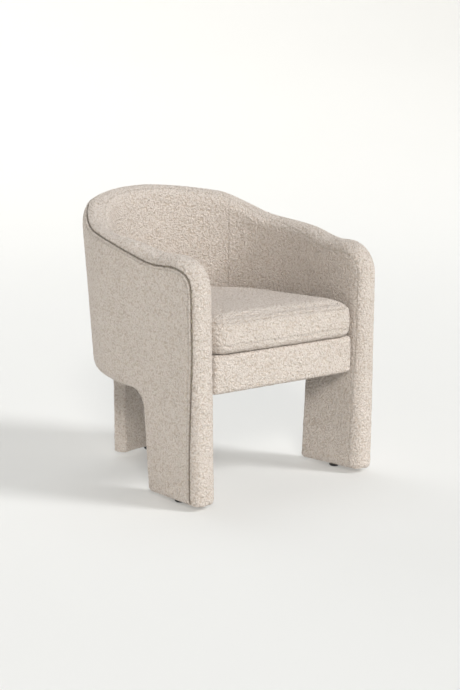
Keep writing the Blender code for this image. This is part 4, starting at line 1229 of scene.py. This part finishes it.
def mottled(name, colour, roughness, metallic=0.0, scale=60.0, depth=0.0004, stretch=(1, 1, 1)):
    """A material with fine mottling, or grain where it is stretched, in colour, gloss and surface."""
    made, tree, shader = node_material(name, roughness, metallic)
    fitted = add(tree, "Mapping", {"Vector": object_place(tree), "Scale": stretch}).outputs["Vector"]
    noise = {"Vector": fitted, "Scale": scale, "Detail": 5.0, "Distortion": 0.4}
    grain = add(tree, "TexNoise", noise).outputs["Fac"]
    dark = tuple(c * 0.78 for c in colour)
    light = tuple(min(c * 1.15, 1.0) for c in colour)
    feed(tree, shader, {
        "Base Color": ramp(tree, grain, ((0.3, dark), (0.7, light))),
        "Roughness": calculate(tree, "MULTIPLY_ADD", grain, 0.2, roughness - 0.1),
        "Normal": bumped(tree, grain, 0.5, depth),
    })
    return made


def woven(name, colour, roughness, threads, depth, sheen=0.1):
    """A plain weave with this many threads per metre each way."""
    made, tree, shader = node_material(name, roughness, sheen=sheen)
    place_at = object_place(tree)
    wave = {"Vector": place_at, "Scale": threads / 2.0, "Distortion": 0.6, "Detail": 1.0}
    bands = [add(tree, "TexWave", wave, bands_direction=way).outputs["Fac"] for way in ("X", "Y")]
    height = calculate(tree, "MAXIMUM", *bands)
    dark = tuple(c * 0.62 for c in colour)
    tone = ramp(tree, height, ((0.25, dark), (0.85, colour)))
    feed(tree, shader, {
        "Base Color": tinted(tree, place_at, tone, 14.0, (0.86, 0.86, 0.86)),
        "Normal": bumped(tree, height, 0.6, depth),
    })
    return made


SLOT_OF = (
    ("glide_pin", "steel"), ("glide", "glide_plastic"), ("seat_bolt", "steel"), ("zip_tape", "zip_tape"),
    ("zip", "steel"), ("foam", "foam"), ("cushion_foam", "foam"), ("wadding", "wadding"),
    ("frame", "birch_plywood"), ("seat_rail_rear", "birch_plywood"), ("seat_rail", "pine"),
    ("leg_block", "pine"), ("rear_leg_post", "pine"), ("rear_dowel", "pine"), ("strap", "webbing"),
    ("deck_pad", "deck_cloth"), ("dust_cloth", "dust_cloth"), ("cover", "boucle"),
    ("cushion_cover", "boucle"),
)
materials = {
    "boucle": boucle(),
    "foam": mottled("foam", (0.80, 0.74, 0.52), 0.9, scale=420.0, depth=0.0008),
    "wadding": mottled("wadding", (0.84, 0.84, 0.82), 0.95, scale=160.0, depth=0.0015),
    "birch_plywood": mottled("birch_plywood", (0.58, 0.42, 0.26), 0.6, scale=30.0, stretch=(1, 1, 9)),
    "pine": mottled("pine", (0.66, 0.50, 0.31), 0.6, scale=26.0, stretch=(6, 6, 1)),
    "webbing": woven("webbing", (0.42, 0.33, 0.22), 0.9, 420.0, 0.0008),
    "deck_cloth": woven("deck_cloth", (0.62, 0.54, 0.46), 0.92, 900.0, 0.0005, 0.2),
    "dust_cloth": mottled("dust_cloth", (0.022, 0.022, 0.022), 0.9, scale=520.0, depth=0.0004),
    "glide_plastic": mottled("glide_plastic", (0.018, 0.018, 0.018), 0.45, scale=240.0, depth=0.0002),
    "steel": mottled("steel", (0.52, 0.52, 0.53), 0.32, 1.0, scale=300.0, depth=0.0001, stretch=(1, 1, 8)),
    "zip_tape": woven("zip_tape", (0.60, 0.53, 0.45), 0.85, 1300.0, 0.0004),
}


def dress_cad():
    """Gives each CAD node that stays its own slot's material."""
    for name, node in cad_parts.items():
        slot = next(slot for start, slot in SLOT_OF if name.startswith(start))
        node.data.materials.clear()
        node.data.materials.append(materials[slot])


# ---------------------------------------------------------------- studio

PHOTO_H = 690
FOCAL_PX = 1389.05
CAMERA_TURN, CAMERA_RISE = math.radians(-40.815), math.radians(9.736)
CAMERA_AWAY = 3.5283
CAMERA_SIDE, CAMERA_UP = 0.0276, -0.0320
AIM = Vector((0.0, -0.0337, 0.360))

# Radius and height of each ring of the floor, which curves up into a backdrop
FLOOR_RINGS = (
    (0.0, 0.0), (4.0, 0.0), (6.0, 0.0), (7.5, 0.15), (8.6, 0.6), (9.4, 1.4), (9.8, 2.6), (10.0, 7.0),
)
FLOOR_STEPS = 48
FLOOR_COLOUR, GLOW_COLOUR, FLOOR_GLOW = (0.60, 0.60, 0.585), (1.0, 0.99, 0.96), 0.22
WORLD_COLOUR, WORLD_STRENGTH = (0.95, 0.97, 1.0), 0.03
WARM, NEUTRAL, COOL = (1.0, 0.965, 0.925), (0.985, 0.99, 1.0), (0.90, 0.95, 1.0)
# Name, azimuth, elevation, strength, spread and tint of each soft light; the last lights the backdrop.
SUNS = (
    ("key_left", -36, 26, 1.39, 12, WARM),
    ("key_right", 30, 38, 2.07, 16, NEUTRAL),
    ("overhead", 150, 66, 0.55, 40, COOL),
    ("backdrop", 180, 12, 1.00, 40, NEUTRAL),
)


def direction(azimuth, elevation):
    """Unit vector towards this azimuth (0 is the front, a quarter turn is +X) and elevation."""
    flat = math.cos(elevation)
    return Vector((math.sin(azimuth) * flat, -math.cos(azimuth) * flat, math.sin(elevation)))


def build_camera():
    """The photograph's viewpoint."""
    data = bpy.data.cameras.new("camera")
    data.sensor_width = 36.0
    data.lens = FOCAL_PX / PHOTO_H * data.sensor_width
    data.clip_end = 50.0
    camera = add_object("camera", data)
    back = direction(CAMERA_TURN, CAMERA_RISE)
    right = Vector((math.cos(CAMERA_TURN), math.sin(CAMERA_TURN), 0.0))
    up = back.cross(right)
    at = AIM + back * CAMERA_AWAY + right * CAMERA_SIDE + up * CAMERA_UP
    axes = Matrix((right, up, back)).transposed()
    camera.matrix_world = Matrix.Translation(at) @ axes.to_4x4()
    bpy.context.scene.camera = camera


def sun(name, azimuth, elevation, strength, spread, tint):
    """A soft distant light that comes from this azimuth and elevation."""
    data = bpy.data.lights.new(name, "SUN")
    data.energy = strength
    data.color = tint
    data.angle = math.radians(spread)
    light = add_object(name, data)
    to_light = direction(math.radians(azimuth), math.radians(elevation))
    light.rotation_mode = "QUATERNION"
    light.rotation_quaternion = to_light.to_track_quat("Z", "Y")


def build_floor():
    """A pale floor that curves up into a backdrop on every side, and lets the lights through."""
    turns = [2 * math.pi * i / FLOOR_STEPS for i in range(FLOOR_STEPS)]
    points = [(radius * math.cos(a), radius * math.sin(a), z) for radius, z in FLOOR_RINGS for a in turns]
    floor = mesh_object("floor", np.array(points), tube_faces(len(FLOOR_RINGS), FLOOR_STEPS))
    made, tree, shader = node_material("pale_floor", 0.9)
    feed(tree, shader, {
        "Base Color": (*FLOOR_COLOUR, 1.0),
        "Emission Color": (*GLOW_COLOUR, 1.0),
        "Emission Strength": FLOOR_GLOW,
    })
    floor.data.materials.append(made)
    floor.visible_shadow = False


def build_studio():
    """The floor, the lights and a faint even glow from all round."""
    scene = bpy.context.scene
    scene.view_settings.view_transform = "Standard"
    scene.view_settings.look = "None"
    scene.world = bpy.data.worlds.new("studio")
    scene.world.use_nodes = True
    tree = scene.world.node_tree
    feed(tree, tree.nodes["Background"], {"Color": (*WORLD_COLOUR, 1.0), "Strength": WORLD_STRENGTH})
    for light in SUNS:
        sun(*light)
    build_floor()


# ---------------------------------------------------------------- the scene

build_camera()
build_studio()
dress_cad()
build_wall()
build_rear_leg()
build_front_rail()
build_deck()
build_dust_cloth()
build_cushion()
build_teeth()
build_slider()
